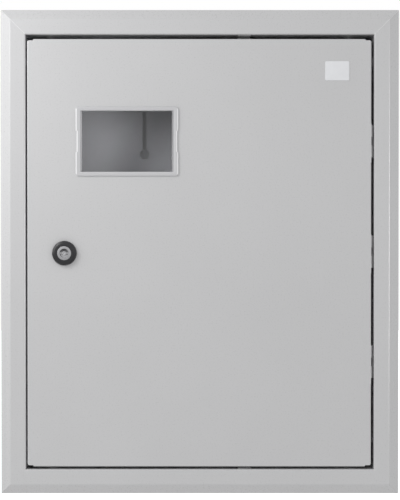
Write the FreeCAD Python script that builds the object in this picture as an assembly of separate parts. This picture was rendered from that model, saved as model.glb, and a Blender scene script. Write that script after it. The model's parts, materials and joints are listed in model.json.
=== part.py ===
import FreeCAD, Part
import math
import os

# Flush meter cabinet of folded sheet steel: a box set into the wall, a mitred frame that
# covers the joint, an inset door with a window and a quarter-turn lock, and the fittings inside.
# Millimetres. X points right, Y points back into the wall, Z points up.
# The origin is the centre of the four wall fixing holes, on the outside of the back wall.

# Front frame
frame_width = 440.0
frame_height = 535.0
projection = 12.0          # how far the frame stands out of the wall
flank_run = 11.6           # width of the sloped outer flank, seen from the front
face_flat = 17.1           # width of the flat front of the frame
lip_depth = 30.0           # how far the inner lip runs back from the front
frame_sheet = 1.2
frame_bend = 0.7           # inside bend radius
mitre_gap = 0.2            # open seam left at each welded corner

# Box in the wall
recess_depth = 138.0       # back face to wall plane
box_sheet = 1.2
box_bend = 1.2
box_collar = 3.0           # how far the box walls run ahead of the wall plane, under the frame
frame_slip = 0.2           # clearance between the frame's lip and the box walls
wall_hole_inset = 13.9       # fixing holes to the outside of the box walls
wall_hole_radius = 3.5
corner_relief_radius = 2.2

# Cable knock-outs in the top and the bottom of the box
knockout_radius = 14.2
knockout_slit = 0.9
knockout_bridge = 4.0
knockout_pitch = 150.0
knockout_from_back = 62.0
knockouts_per_wall = 2

# Masonry lugs bent out of the side walls
lug_length = 22.0
lug_width = 24.0
lug_from_back = 34.0
lug_height = 150.0         # above and below the middle
lug_hole_radius = 3.2
lug_bend = 1.0

# Screws that hold the frame in the box
frame_screw_radius = 2.0
frame_screw_across = 7.0
frame_screw_head_height = 2.6
frame_screw_from_front = 22.0
frame_screw_tail = 4.0
frame_slot_length = 9.0
frame_screw_from_corner = 36.0   # along the left and right sides
hole_fit = 0.15            # radial clearance of a screw in a plain hole
thread_fit = 0.04          # radial clearance that stands for a thread's fit

# Door
door_gap_left = 1.7
door_gap_right = 3.0
door_gap_top = 4.8
door_gap_bottom = 2.9
door_sheet = 1.0
door_depth = 15.0
door_bend = 0.6
door_return = 8.0          # inward fold behind the left and right flanges
door_return_inset = 9.0    # the folds stop this far from the door's top and bottom
door_corner_radius = 2.4
door_relief = 6.6          # top and bottom flanges end this far from the door's sides
stop_clearance = 0.5

# Hinges
hinge_edge_inset = 1.3     # axis to the door's side edge
barrel_radius = 2.5
barrel_gap = 0.3           # barrel to the inside of the door's sheet
hinge_pin_radius = 1.45
pin_fit = 0.05
outer_knuckle = 13.2
middle_knuckle = 8.8
knuckle_gap = 0.25
pin_tail = 4.4             # end of the pin below the lower knuckle
hinge_spacing = 121.5
hinge_middle_z = 0.7
leaf_sheet = 1.2
frame_leaf_depth = 18.0
door_leaf_reach = 19.0
door_leaf_clear = 0.9      # door leaf's plate to the outer knuckles
leg_drop = 2.1             # axis to the front of the frame leaf's short leg
hinge_slot_margin = 1.6
hinge_slot_fit = 0.6       # rear of the slot to the frame leaf's short leg
hinge_edge_round = 0.4

# Door stops and the lock's keeper
stop_width = 14.4
stop_place_x = 49.0
stop_reach = 11.0
stop_leg = 13.0
keeper_width = 26.0
keeper_reach = 13.0
keeper_leg = 14.0
keeper_bend = 0.6
keeper_sheet = 1.2

# Window
window_from_left = 53.1     # flange to the door's left edge
window_from_top = 74.35     # flange to the door's top edge
window_width = 113.3
window_height = 76.2
window_corner = 3.3
window_lap = 3.6           # how far the flange covers the sheet around the cut-out
window_flange = 1.6
window_step = 0.9          # the pane lies this far behind the flange's front
window_pane_sheet = 2.0
window_collar_wall = 1.7
window_collar_depth = 7.0
window_rib_width = 2.0     # raised strip on the pane along its left and right edges
window_rib_sink = 0.4      # strip's face behind the flange's front
window_fit = 0.25
window_notch_depth = 1.1
window_notch_length = 23.2
hook_length = 20.0
hook_slit = 1.2
hook_barb = 1.1
hook_barb_run = 2.6
flange_bevel = 0.5

# Quarter-turn lock
lock_from_left = 40.95     # middle of the lock to the door's left edge
lock_place_z = -1.0
lock_head_radius = 13.5
lock_shoulder_radius = 12.8
lock_crown_radius = 11.0
lock_head_height = 5.0
lock_rim_height = 1.8      # straight edge of the ring
lock_shoulder_height = 3.9
barrel_thread_radius = 10.9
barrel_flat = 10.0
lock_hole_fit = 0.2
insert_radius = 7.7
insert_shaft_radius = 6.0
insert_fit = 0.06
insert_sink = 0.4
insert_head = 4.6
key_recess_radius = 5.5
key_recess_depth = 3.4
key_core_radius = 2.2
key_wing_width = 2.8
key_wing_sink = 0.7
barrel_end_gap = 0.5       # housing's rear end to the cam
lock_nut_across = 27.0
lock_nut_height = 5.0
cam_sheet = 2.5
cam_width = 18.0
cam_length = 39.0
cam_gap = 0.4              # cam to the keeper when locked
cam_square = 8.0
cam_square_fit = 0.05
cam_tail = 10.0
cam_tip_bevel = 4.5
cam_screw_radius = 2.5
cam_screw_reach = 10.0
cam_screw_end_gap = 0.25   # end of the screw to the bottom of its tapped hole
cam_screw_head = 3.6
cam_screw_across = 11.0

# Meter plate
plate_side_gap = 22.7      # to the box's side walls
plate_top_gap = 18.2
plate_bottom_gap = 162.2
plate_from_back = 30.0
plate_sheet = 1.5
plate_bend = 1.0
plate_fold = 10.0
plate_hole_inset = 14.0
slot_width = 4.75
slot_run = 78.0
key_hole_radius = 5.8
slot_from_left = 104.7
upper_slot_from_top = 107.7       # round end of the slot to the plate's top
lower_slot_from_bottom = 67.3
lower_slot_spread = 104.0
lower_slot_run = 40.0
cable_pass_length = 70.0
cable_pass_width = 22.0
cable_pass_from_side = 75.0
cable_pass_from_bottom = 32.0
standoff_across = 8.0
plate_screw_radius = 2.0
plate_screw_across = 7.0
plate_screw_head_height = 2.6
plate_screw_reach = 8.0

# Mounting rail and its brackets
rail_side_gap = 42.7       # to the box's side walls
rail_from_bottom = 112.2
rail_height = 35.0
rail_depth = 7.5
rail_sheet = 1.0
rail_bend = 0.4
rail_lip = 5.0
rail_slot_length = 25.0
rail_slot_width = 5.2
rail_slot_pitch = 36.0
rail_slot_margin = 8.0     # plain stretch kept at each end of the rail
bracket_width = 26.0
bracket_rise = 28.0
bracket_leg = 20.0
bracket_sheet = 1.5
bracket_bend = 0.8
rail_screw_radius = 2.5
rail_screw_across = 8.0
rail_screw_head_height = 3.0
rail_screw_tail = 3.0

# Neutral and earth bars
bar_height = 8.0
bar_depth = 10.0
bar_place_x = 82.0
bar_from_bottom = 34.2
bar_ways = 5
bar_pitch = 15.0
bar_end = 18.0             # last way to the bar's end
wire_hole_radius = 2.3
wire_hole_from_back = 3.6
clamp_screw_radius = 2.2
clamp_screw_sink = 3.2
clamp_screw_rise = 3.0
clamp_slot_width = 0.8
clamp_slot_depth = 1.0
carrier_overhang = 14.0    # foot beyond the bar's ends
carrier_width = 18.0
carrier_foot = 3.0
carrier_post = 13.0
carrier_rise = 20.0        # back wall to the back of the bar
carrier_grip = 6.0
carrier_fit = 0.15
carrier_corner = 3.6
carrier_post_inset = 7.0   # middle of a post to the bar's end
carrier_screw_inset = 7.0
carrier_screw_radius = 1.8
carrier_screw_across = 6.0
carrier_screw_head_height = 2.0

# Earth studs
stud_radius = 3.0
stud_base_radius = 4.5
stud_base_height = 0.8
box_stud_length = 16.0
door_stud_length = 11.0
box_stud_from_side = 24.7
box_stud_from_bottom = 65.2
door_stud_from_side = 28.3
door_stud_from_bottom = 40.4
stud_washer_radius = 6.2
stud_washer_sheet = 1.2
stud_nut_across = 10.0
stud_nut_height = 5.0

# Worked out from the sizes above
wall_y = -recess_depth
front_y = wall_y - projection
opening_width = frame_width - 2 * (flank_run + face_flat)
opening_height = frame_height - 2 * (flank_run + face_flat)
box_inner_width = opening_width + 2 * (frame_sheet + frame_slip)
box_inner_height = opening_height + 2 * (frame_sheet + frame_slip)
box_width = box_inner_width + 2 * box_sheet
box_height = box_inner_height + 2 * box_sheet
box_front_y = wall_y - box_collar
inside_back_y = -box_sheet
box_floor_z = -box_inner_height / 2
wall_hole_x = box_width / 2 - wall_hole_inset
wall_hole_z = box_height / 2 - wall_hole_inset
door_left = door_gap_left - opening_width / 2
door_right = opening_width / 2 - door_gap_right
door_height = opening_height - door_gap_top - door_gap_bottom
door_middle_z = (door_gap_bottom - door_gap_top) / 2
door_inside_y = front_y + door_sheet
door_rear_y = front_y + door_depth
hinge_x = door_right - hinge_edge_inset
hinge_y = door_inside_y + barrel_gap + barrel_radius
hinge_length = 2 * outer_knuckle + middle_knuckle + 2 * knuckle_gap
window_place_x = door_left + window_from_left + window_width / 2
window_place_z = door_middle_z + door_height / 2 - window_from_top - window_height / 2
lock_place_x = door_left + lock_from_left
stop_y = door_rear_y + stop_clearance
cam_front_y = stop_y + keeper_sheet + cam_gap
plate_front_y = inside_back_y - plate_from_back
plate_width = box_inner_width - 2 * plate_side_gap
plate_top = box_inner_height / 2 - plate_top_gap
plate_bottom = box_floor_z + plate_bottom_gap
slot_place_x = slot_from_left - plate_width / 2
rail_back_y = inside_back_y - bracket_rise
rail_length = box_inner_width - 2 * rail_side_gap
rail_place_z = box_floor_z + rail_from_bottom
bar_back_y = inside_back_y - carrier_rise
bar_length = (bar_ways - 1) * bar_pitch + 2 * bar_end
bar_place_z = box_floor_z + bar_from_bottom
carrier_length = bar_length + 2 * carrier_overhang

far = 2 * max(frame_width, frame_height)   # longer than any cut has to reach
overrun = 1.0              # cuts run this far past a face, and joined bodies into each other
touching = 1e-5            # points nearer than this are the same
along_x = FreeCAD.Vector(1, 0, 0)
along_y = FreeCAD.Vector(0, 1, 0)
along_z = FreeCAD.Vector(0, 0, 1)
middle = FreeCAD.Vector(0, 0, 0)


def block(x_span, y_span, z_span):
    """Box between two values along each axis."""
    corner = FreeCAD.Vector(min(x_span), min(y_span), min(z_span))
    lengths = [abs(span[1] - span[0]) for span in (x_span, y_span, z_span)]
    return Part.makeBox(lengths[0], lengths[1], lengths[2], corner)


def centred(place, size):
    """Span of a size about a place."""
    return (place - size / 2, place + size / 2)


def rod(radius, x, z, y_span):
    """Round bar along Y."""
    start = FreeCAD.Vector(x, min(y_span), z)
    return Part.makeCylinder(radius, abs(y_span[1] - y_span[0]), start, along_y)


def prism(corners, y_span):
    """Flat outline of x and z corners, pushed along Y."""
    points = [FreeCAD.Vector(x, min(y_span), z) for x, z in corners]
    outline = Part.makePolygon(points + [points[0]])
    return Part.Face(outline).extrude(FreeCAD.Vector(0, abs(y_span[1] - y_span[0]), 0))


def hexagon(across, x, z, y_span):
    """Six-sided bar along Y, with two corners left and right."""
    reach = across / math.sqrt(3)
    turns = [math.radians(60 * side) for side in range(6)]
    corners = [(x + reach * math.cos(turn), z + reach * math.sin(turn)) for turn in turns]
    return prism(corners, y_span)


def merged(shapes):
    """One solid from pieces that overlap or touch."""
    result = shapes[0]
    for shape in shapes[1:]:
        result = result.fuse(shape)
    return result.removeSplitter()


def group(shapes):
    """Separate solids kept side by side in one file."""
    return Part.makeCompound(shapes)


def mirrored(shape):
    """The same form on the other side, left for right."""
    return shape.mirror(middle, along_x)


def edges_through(shape, direction, spots):
    """Straight edges along a direction that pass through one of the spots, seen along it."""
    found = []
    for edge in shape.Edges:
        ends = [vertex.Point for vertex in edge.Vertexes]
        if len(ends) < 2:
            continue
        run = ends[1] - ends[0]
        if run.Length < touching or run.cross(direction).Length > touching * run.Length:
            continue
        for spot in spots:
            if (ends[0] - spot).cross(direction).Length < touching:
                found.append(edge)
                break
    return found


def edges_at(shape, y):
    """Edges that lie flat at one value of Y."""
    return [edge for edge in shape.Edges
            if all(abs(vertex.Point.y - y) < touching for vertex in edge.Vertexes)]


def offset_path(points, distance):
    """The path moved sideways by a distance, corners kept sharp."""
    lines = []
    for first, second in zip(points, points[1:]):
        run = (second[0] - first[0], second[1] - first[1])
        length = math.hypot(run[0], run[1])
        side = (-run[1] / length * distance, run[0] / length * distance)
        lines.append(((first[0] + side[0], first[1] + side[1]), run))
    moved = [lines[0][0]]
    for (start, run), (next_start, next_run) in zip(lines, lines[1:]):
        cross = run[0] * next_run[1] - run[1] * next_run[0]
        gap = (next_start[0] - start[0], next_start[1] - start[1])
        share = (gap[0] * next_run[1] - gap[1] * next_run[0]) / cross
        moved.append((start[0] + share * run[0], start[1] + share * run[1]))
    last_start, last_run = lines[-1]
    moved.append((last_start[0] + last_run[0], last_start[1] + last_run[1]))
    return moved


def folded_sheet(path, sheet, bend, direction, span):
    """Sheet folded along a path and pushed along X or Z. The path is the outer surface.

    Its coordinates are y and z when it is pushed along X, and x and y along Z.
    A negative thickness lies on the right-hand side of the path.
    """
    def place(point, along):
        if direction == along_x:
            return FreeCAD.Vector(along, point[0], point[1])
        return FreeCAD.Vector(point[0], point[1], along)

    inner = offset_path(path, sheet)
    loop = path + inner[::-1]
    outline = Part.makePolygon([place(point, span[0]) for point in loop + [loop[0]]])
    solid = Part.Face(outline).extrude(direction * (span[1] - span[0]))
    for number in range(1, len(path) - 1):
        before, here, after = path[number - 1], path[number], path[number + 1]
        cross = (here[0] - before[0]) * (after[1] - here[1]) - (here[1] - before[1]) * (after[0] - here[0])
        turns_in = cross * sheet > 0
        outer_radius = bend + abs(sheet) if turns_in else bend
        inner_radius = bend if turns_in else bend + abs(sheet)
        outer_edges = edges_through(solid, direction, [place(here, 0)])
        solid = solid.makeFillet(outer_radius, outer_edges)
        inner_edges = edges_through(solid, direction, [place(inner[number], 0)])
        solid = solid.makeFillet(inner_radius, inner_edges)
    return solid


def hexagon_screw(radius, across, head_height, length):
    """Screw with a hexagon head, seat at the origin, shank down along minus Z."""
    head = hexagon(across, 0, 0, (0, head_height))
    head.rotate(middle, along_x, 90)
    shank = Part.makeCylinder(radius, length + head_height / 2, FreeCAD.Vector(0, 0, -length), along_z)
    return head.fuse(shank).removeSplitter()


def facing_front(shape, x, y, z):
    """Turns a screw so that its head points to the front and its seat lies at a place."""
    turned = shape.copy()
    turned.rotate(middle, along_x, 90)
    turned.translate(FreeCAD.Vector(x, y, z))
    return turned


def frame_side_path(half_span):
    """Outer surface of the frame's section, as y and z, for the side above the opening."""
    return [
        (wall_y, half_span + face_flat + flank_run),
        (front_y, half_span + face_flat),
        (front_y, half_span),
        (front_y + lip_depth, half_span),
    ]


def frame_screw_places():
    """Heights of the two screws in the left and in the right side of the frame."""
    reach = opening_height / 2 - frame_screw_from_corner
    return [-reach, reach]


def frame_side(span, length):
    """One mitred side of the frame, made above the opening."""
    half_span = span / 2
    half_length = length / 2
    outer = face_flat + flank_run
    solid = folded_sheet(frame_side_path(half_span), frame_sheet, frame_bend, along_x,
                         (-half_length - outer, half_length + outer))
    seam = mitre_gap / math.sqrt(2)
    low = half_span - flank_run
    high = half_span + outer + flank_run
    wide = half_length + (high - half_span) - seam
    narrow = half_length + (low - half_span) - seam
    keep = prism([(-narrow, low), (narrow, low), (wide, high), (-wide, high)], (front_y - far, far))
    return solid.common(keep)


def frame_screw_slot(place, half_span):
    """Round-ended slot in the lip of a side made above the opening."""
    width = frame_screw_radius + hole_fit
    reach = frame_slot_length / 2 - frame_screw_radius
    slot_middle = front_y + frame_screw_from_front
    z_span = (half_span - frame_sheet, half_span + 2 * frame_sheet)
    cut = block(centred(place, 2 * width), centred(slot_middle, 2 * reach), z_span)
    for end in (-reach, reach):
        start = FreeCAD.Vector(place, slot_middle + end, z_span[0])
        cut = cut.fuse(Part.makeCylinder(width, z_span[1] - z_span[0], start, along_z))
    return cut



def turned_about_y(shape, degrees):
    """A copy turned about the middle of the opening. Plus 90 takes the top to the right."""
    turned = shape.copy()
    turned.rotate(middle, along_y, degrees)
    return turned


def front_frame():
    """The four mitred sides by name. The left and right ones are slotted for screws."""
    flat_side = frame_side(opening_height, opening_width)
    tall_side = frame_side(opening_width, opening_height)
    for place in frame_screw_places():
        tall_side = tall_side.cut(frame_screw_slot(place, opening_width / 2))
    return {
        "frame_top": flat_side,
        "frame_bottom": turned_about_y(flat_side, 180),
        "frame_right": turned_about_y(tall_side, 90),
        "frame_left": turned_about_y(tall_side, -90),
    }


def frame_screws():
    """Screws through the frame's lips into the box walls, heads inside."""
    shank = frame_sheet + frame_slip + box_sheet + frame_screw_tail
    screw = hexagon_screw(frame_screw_radius, frame_screw_across, frame_screw_head_height, shank)
    screw.rotate(middle, along_y, -90)
    screw.translate(FreeCAD.Vector(opening_width / 2, front_y + frame_screw_from_front, 0))
    screws = []
    for place in frame_screw_places():
        right = screw.copy()
        right.translate(FreeCAD.Vector(0, 0, place))
        screws += [right, mirrored(right)]
    return group(screws)


def knockout_cut(x, y, z_span):
    """Round slit of a knock-out with two bridges left."""
    start = FreeCAD.Vector(x, y, min(z_span))
    height = abs(z_span[1] - z_span[0])
    outer = Part.makeCylinder(knockout_radius + knockout_slit / 2, height, start, along_z)
    inner = Part.makeCylinder(knockout_radius - knockout_slit / 2, height, start, along_z)
    bridge = block(centred(x, knockout_bridge), centred(y, 4 * knockout_radius), z_span)
    return outer.cut(inner).cut(bridge)


def masonry_lug(z):
    """Lug bent out of the right side wall, pointing away from the box."""
    root = box_inner_width / 2
    lug_y = -lug_from_back
    tab = block((root, root + box_sheet + lug_length), (lug_y - box_sheet, lug_y), centred(z, lug_width))
    corner = FreeCAD.Vector(root, lug_y, z)
    tab = tab.makeFillet(lug_bend, edges_through(tab, along_z, [corner]))
    hole = rod(lug_hole_radius, root + box_sheet + lug_length / 2, z,
               (lug_y - 2 * box_sheet, lug_y + box_sheet))
    return tab.cut(hole)


def lug_window(z):
    """Hole that the bent lug leaves in the right side wall, ahead of it."""
    root = box_inner_width / 2
    rear = -lug_from_back - box_sheet
    return block((root - box_sheet, root + 2 * box_sheet), (rear - lug_length, rear), centred(z, lug_width))


def back_box():
    """Open-fronted box folded from one sheet, with its fixing holes, knock-outs and lugs."""
    x_out = centred(0, box_width)
    z_out = centred(0, box_height)
    shell = block(x_out, (box_front_y, 0), z_out)
    rear_edges = edges_at(shell, 0)
    shell = shell.makeFillet(box_bend + box_sheet, rear_edges)
    hollow = block(centred(0, box_inner_width), (box_front_y - far, inside_back_y),
                   centred(0, box_inner_height))
    inner_edges = edges_at(hollow, inside_back_y)
    hollow = hollow.makeFillet(box_bend, inner_edges)
    solid = shell.cut(hollow)
    cuts = []
    for x_side in (-1, 1):
        for z_side in (-1, 1):
            cuts.append(rod(wall_hole_radius, x_side * wall_hole_x, z_side * wall_hole_z,
                            (-2 * box_sheet, box_sheet)))
            cuts.append(rod(corner_relief_radius, x_side * box_width / 2, z_side * box_height / 2,
                            (-3 * box_sheet, box_sheet)))
            window = lug_window(z_side * lug_height)
            solid = solid.cut(window if x_side > 0 else mirrored(window))
    for number in range(knockouts_per_wall):
        x = (number - (knockouts_per_wall - 1) / 2) * knockout_pitch
        for side in (-1, 1):
            near = side * (box_inner_height / 2 - box_sheet)
            away = side * (box_height / 2 + box_sheet)
            cuts.append(knockout_cut(x, -knockout_from_back, (min(near, away), max(near, away))))
    for place in frame_screw_places():
        start = FreeCAD.Vector(-far / 2, front_y + frame_screw_from_front, place)
        cuts.append(Part.makeCylinder(frame_screw_radius + thread_fit, far, start, along_x))
    for cut in cuts:
        solid = solid.cut(cut)
    for z_side in (-1, 1):
        lug = masonry_lug(z_side * lug_height)
        solid = solid.fuse(lug).fuse(mirrored(lug))
    return solid.removeSplitter()


def door_stop(side):
    """Folded stop on the lip above (side 1) or below (side -1) the door."""
    root = side * opening_height / 2
    path = [(stop_y + keeper_sheet - stop_leg, root), (stop_y + keeper_sheet, root),
            (stop_y + keeper_sheet, root - side * stop_reach)]
    return folded_sheet(path, -side * keeper_sheet, keeper_bend, along_x,
                        centred(stop_place_x, stop_width))


def lock_keeper():
    """Folded angle on the left lip. The lock's cam turns behind its short leg."""
    root = -opening_width / 2
    path = [(root, stop_y + keeper_leg), (root, stop_y), (root + keeper_reach, stop_y)]
    return folded_sheet(path, keeper_sheet, keeper_bend, along_z, centred(lock_place_z, keeper_width))


def hinge_places():
    """Middle heights of the three hinges."""
    return {
        "top": hinge_middle_z + hinge_spacing,
        "middle": hinge_middle_z,
        "bottom": hinge_middle_z - hinge_spacing,
    }


def knuckle(bore, z_span):
    """Rolled barrel about the hinge's axis."""
    start = FreeCAD.Vector(hinge_x, hinge_y, z_span[0])
    height = z_span[1] - z_span[0]
    outer = Part.makeCylinder(barrel_radius, height, start, along_z)
    return outer.cut(Part.makeCylinder(bore, height, start, along_z))


def hinge_frame_leaf(z):
    """Leaf on the right lip, with the upper and lower knuckles on its short leg."""
    lip = opening_width / 2
    leg_y = hinge_y + leg_drop
    path = [(lip, leg_y + frame_leaf_depth), (lip, leg_y), (hinge_x, leg_y)]
    leaf = folded_sheet(path, -leaf_sheet, leaf_sheet / 2, along_z, centred(z, hinge_length))
    notch_height = middle_knuckle + 2 * knuckle_gap
    notch_x = (hinge_x - 2 * barrel_radius, lip - leaf_sheet)
    leaf = leaf.cut(block(notch_x, centred(leg_y, 4 * barrel_radius), centred(z, notch_height)))
    bore = hinge_pin_radius + pin_fit
    for side in (-1, 1):
        near = z + side * notch_height / 2
        away = z + side * hinge_length / 2
        leaf = leaf.fuse(knuckle(bore, (min(near, away), max(near, away))))
        start = FreeCAD.Vector(hinge_x, hinge_y, min(near, away))
        leaf = leaf.cut(Part.makeCylinder(bore, abs(away - near), start, along_z))
    return leaf.removeSplitter()


def hinge_door_leaf(z):
    """Leaf on the inside of the door's sheet, with the middle knuckle."""
    seat = (door_inside_y, door_inside_y + leaf_sheet)
    clear_x = hinge_x - barrel_radius - door_leaf_clear
    plate = block((hinge_x - door_leaf_reach, clear_x), seat, centred(z, hinge_length))
    tongue = block((clear_x - leaf_sheet, hinge_x), seat, centred(z, middle_knuckle))
    barrel = knuckle(hinge_pin_radius + pin_fit, centred(z, middle_knuckle))
    leaf = plate.fuse(tongue).fuse(barrel)
    start = FreeCAD.Vector(hinge_x, hinge_y, z - middle_knuckle)
    bore = Part.makeCylinder(hinge_pin_radius + pin_fit, 2 * middle_knuckle, start, along_z)
    return leaf.cut(bore).removeSplitter()


def hinge_pin(z):
    """Pin through the three knuckles, with its tail below them."""
    start = FreeCAD.Vector(hinge_x, hinge_y, z - hinge_length / 2 - pin_tail)
    return Part.makeCylinder(hinge_pin_radius, hinge_length + pin_tail, start, along_z)


def door_pan():
    """Folded door before its holes: face, four flanges and two inward folds."""
    half_height = door_height / 2
    top = door_middle_z + half_height
    bottom = door_middle_z - half_height
    pan = block((door_left, door_right), (front_y, door_rear_y), (bottom, top))
    front_edges = edges_at(pan, front_y)
    pan = pan.makeFillet(door_bend + door_sheet, front_edges)
    inner_span = (door_left + door_sheet, door_right - door_sheet)
    hollow = block(inner_span, (door_inside_y, door_rear_y - door_sheet),
                   (bottom + door_sheet, top - door_sheet))
    inner_edges = edges_at(hollow, door_inside_y)
    hollow = hollow.makeFillet(door_bend, inner_edges)
    mouth = block((door_left + door_return, door_right - door_return),
                  (door_rear_y - 2 * door_sheet, door_rear_y + door_sheet),
                  (bottom + door_sheet, top - door_sheet))
    pan = pan.cut(hollow).cut(mouth)
    for side in (-1, 1):
        fold_end = (door_middle_z + side * (half_height - door_return_inset),
                    door_middle_z + side * (half_height - door_sheet))
        pan = pan.cut(block(inner_span, (door_rear_y - 2 * door_sheet, door_rear_y + door_sheet), fold_end))
    return pan


def door_corner_cuts():
    """Reliefs where the top and bottom flanges end short of the door's sides."""
    half_height = door_height / 2
    setback = door_bend + door_sheet
    cuts = []
    for x_side, corner_x in ((-1, door_left), (1, door_right)):
        for z_side in (-1, 1):
            x_span = (corner_x - x_side * door_relief, corner_x + x_side * door_sheet)
            edge_z = door_middle_z + z_side * half_height
            cuts.append(block(x_span, (front_y - door_sheet, door_rear_y + door_sheet),
                              (edge_z - z_side * setback, edge_z + z_side * door_sheet)))
            corner_z = edge_z - z_side * setback
            square = block((corner_x - x_side * door_corner_radius, corner_x + x_side * door_sheet),
                           (front_y - door_sheet, door_rear_y + door_sheet),
                           (corner_z - z_side * door_corner_radius, corner_z + z_side * door_sheet))
            arc_x = corner_x - x_side * door_corner_radius
            arc_z = corner_z - z_side * door_corner_radius
            round_bar = rod(door_corner_radius, arc_x, arc_z, (front_y - far, far))
            cuts.append(square.cut(round_bar))
    return cuts


def hinge_slot(z):
    """Cut in the right flange where a hinge passes, up to the inside of the door's sheet."""
    low = z - hinge_length / 2 - pin_tail - hinge_slot_margin
    high = z + hinge_length / 2 + hinge_slot_margin
    rear = hinge_y + leg_drop + leaf_sheet + hinge_slot_fit
    inside = door_right - door_sheet - door_bend
    return block((inside, door_right + door_sheet), (door_inside_y, rear), (low, high))


def hinge_slot_edge(z):
    """Flat edge of the door's sheet, put back where the bend is cut away at a hinge."""
    low = z - hinge_length / 2 - pin_tail - hinge_slot_margin
    high = z + hinge_length / 2 + hinge_slot_margin
    inside = door_right - door_sheet - door_bend
    edge = block((inside, door_right), (front_y, door_inside_y), (low, high))
    corner = FreeCAD.Vector(door_right, front_y, 0)
    return edge.makeFillet(hinge_edge_round, edges_through(edge, along_z, [corner]))


def rounded_window(width, height, corner, y_span):
    """Rectangle with round corners about the window's middle, pushed along Y."""
    solid = block(centred(window_place_x, width), y_span, centred(window_place_z, height))
    spots = [FreeCAD.Vector(x, 0, z) for x in centred(window_place_x, width)
             for z in centred(window_place_z, height)]
    return solid.makeFillet(corner, edges_through(solid, along_y, spots))


def lock_barrel(radius, flat, y_span):
    """Round barrel with two flats, top and bottom."""
    barrel = rod(radius, lock_place_x, lock_place_z, y_span)
    return barrel.common(block(centred(lock_place_x, 2 * radius), y_span, centred(lock_place_z, 2 * flat)))


def door_panel():
    """The whole folded door with its window, lock and hinge cut-outs."""
    door = door_pan()
    for cut in door_corner_cuts():
        door = door.cut(cut)
    for z in hinge_places().values():
        door = door.cut(hinge_slot(z)).fuse(hinge_slot_edge(z))
    through = (front_y - door_sheet, door_inside_y + door_sheet)
    cut_out = rounded_window(window_width - 2 * window_lap, window_height - 2 * window_lap,
                             window_corner, through)
    lock_hole = lock_barrel(barrel_thread_radius + lock_hole_fit, barrel_flat + lock_hole_fit, through)
    return door.cut(cut_out).cut(lock_hole).removeSplitter()


def window_hook(side):
    """Barb behind the door's sheet on one side of the window's collar."""
    cut_half = window_width / 2 - window_lap
    collar = cut_half - window_fit
    seat = door_inside_y + hole_fit
    wall_x = side * (collar - window_collar_wall / 2)
    corners = [(wall_x, seat), (side * (cut_half + hook_barb), seat), (side * collar, seat + hook_barb_run),
               (wall_x, seat + hook_barb_run)]
    points = [FreeCAD.Vector(window_place_x + x, y, window_place_z - hook_length / 2) for x, y in corners]
    outline = Part.makePolygon(points + [points[0]])
    return Part.Face(outline).extrude(FreeCAD.Vector(0, 0, hook_length))


def window_pane():
    """Clear snap-in window: flange, sunk pane with two ribs, and a collar with two hooks."""
    outer_front = front_y - window_flange
    pane_front = outer_front + window_step
    pane_rear = pane_front + window_pane_sheet
    collar_width = window_width - 2 * (window_lap + window_fit)
    collar_height = window_height - 2 * (window_lap + window_fit)
    collar_rear = door_inside_y + window_collar_depth
    flange = rounded_window(window_width, window_height, window_corner, (outer_front, front_y))
    for side in (-1, 1):
        edge_x = window_place_x + side * window_width / 2
        notch = block((edge_x - side * window_notch_depth, edge_x + side * overrun),
                      (outer_front - overrun, front_y + overrun),
                      centred(window_place_z, window_notch_length))
        flange = flange.cut(notch)
    front_edges = edges_at(flange, outer_front)
    flange = flange.makeChamfer(flange_bevel, front_edges)
    collar_corner = window_corner - window_fit
    collar = rounded_window(collar_width, collar_height, collar_corner, (pane_front, collar_rear))
    inner_width = collar_width - 2 * window_collar_wall
    inner_height = collar_height - 2 * window_collar_wall
    inner_corner = collar_corner - window_collar_wall / 2
    recess = rounded_window(inner_width, inner_height, inner_corner, (outer_front - overrun, pane_front))
    well = rounded_window(inner_width, inner_height, inner_corner, (pane_rear, collar_rear + overrun))
    solid = flange.fuse(collar).fuse(window_hook(-1)).fuse(window_hook(1)).cut(recess).cut(well)
    rib_height = inner_height - 2 * inner_corner
    for x_side in (-1, 1):
        rib_x = window_place_x + x_side * (inner_width - window_rib_width) / 2
        solid = solid.fuse(block(centred(rib_x, window_rib_width), (outer_front + window_rib_sink, pane_rear),
                                 centred(window_place_z, rib_height)))
        x_span = (window_place_x + x_side * (inner_width / 2 - overrun),
                  window_place_x + x_side * (collar_width / 2 + 2 * hook_barb))
        for z_side in (-1, 1):
            slit_z = window_place_z + z_side * (hook_length / 2 + hook_slit / 2)
            solid = solid.cut(block(x_span, (pane_rear, collar_rear + overrun), centred(slit_z, hook_slit)))
    return solid.removeSplitter()


def lock_housing():
    """Black lock body: ring with two sloped steps, flatted barrel and a stepped bore."""
    head_front = front_y - lock_head_height
    barrel_rear = cam_front_y - barrel_end_gap
    profile = [
        (0, front_y),
        (lock_head_radius, front_y),
        (lock_head_radius, front_y - lock_rim_height),
        (lock_shoulder_radius, front_y - lock_shoulder_height),
        (lock_crown_radius, head_front),
        (0, head_front),
        (0, front_y),
    ]
    outline = Part.makePolygon([FreeCAD.Vector(radius, y, 0) for radius, y in profile])
    head = Part.Face(outline).revolve(middle, along_y, 360)
    head.translate(FreeCAD.Vector(lock_place_x, 0, lock_place_z))
    body = head.fuse(lock_barrel(barrel_thread_radius, barrel_flat, (front_y - overrun, barrel_rear)))
    wide = rod(insert_radius + insert_fit, lock_place_x, lock_place_z,
               (head_front - overrun, head_front + insert_sink + insert_head))
    narrow = rod(insert_shaft_radius + insert_fit, lock_place_x, lock_place_z,
                 (head_front - overrun, barrel_rear + overrun))
    return body.cut(wide).cut(narrow).removeSplitter()


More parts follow.
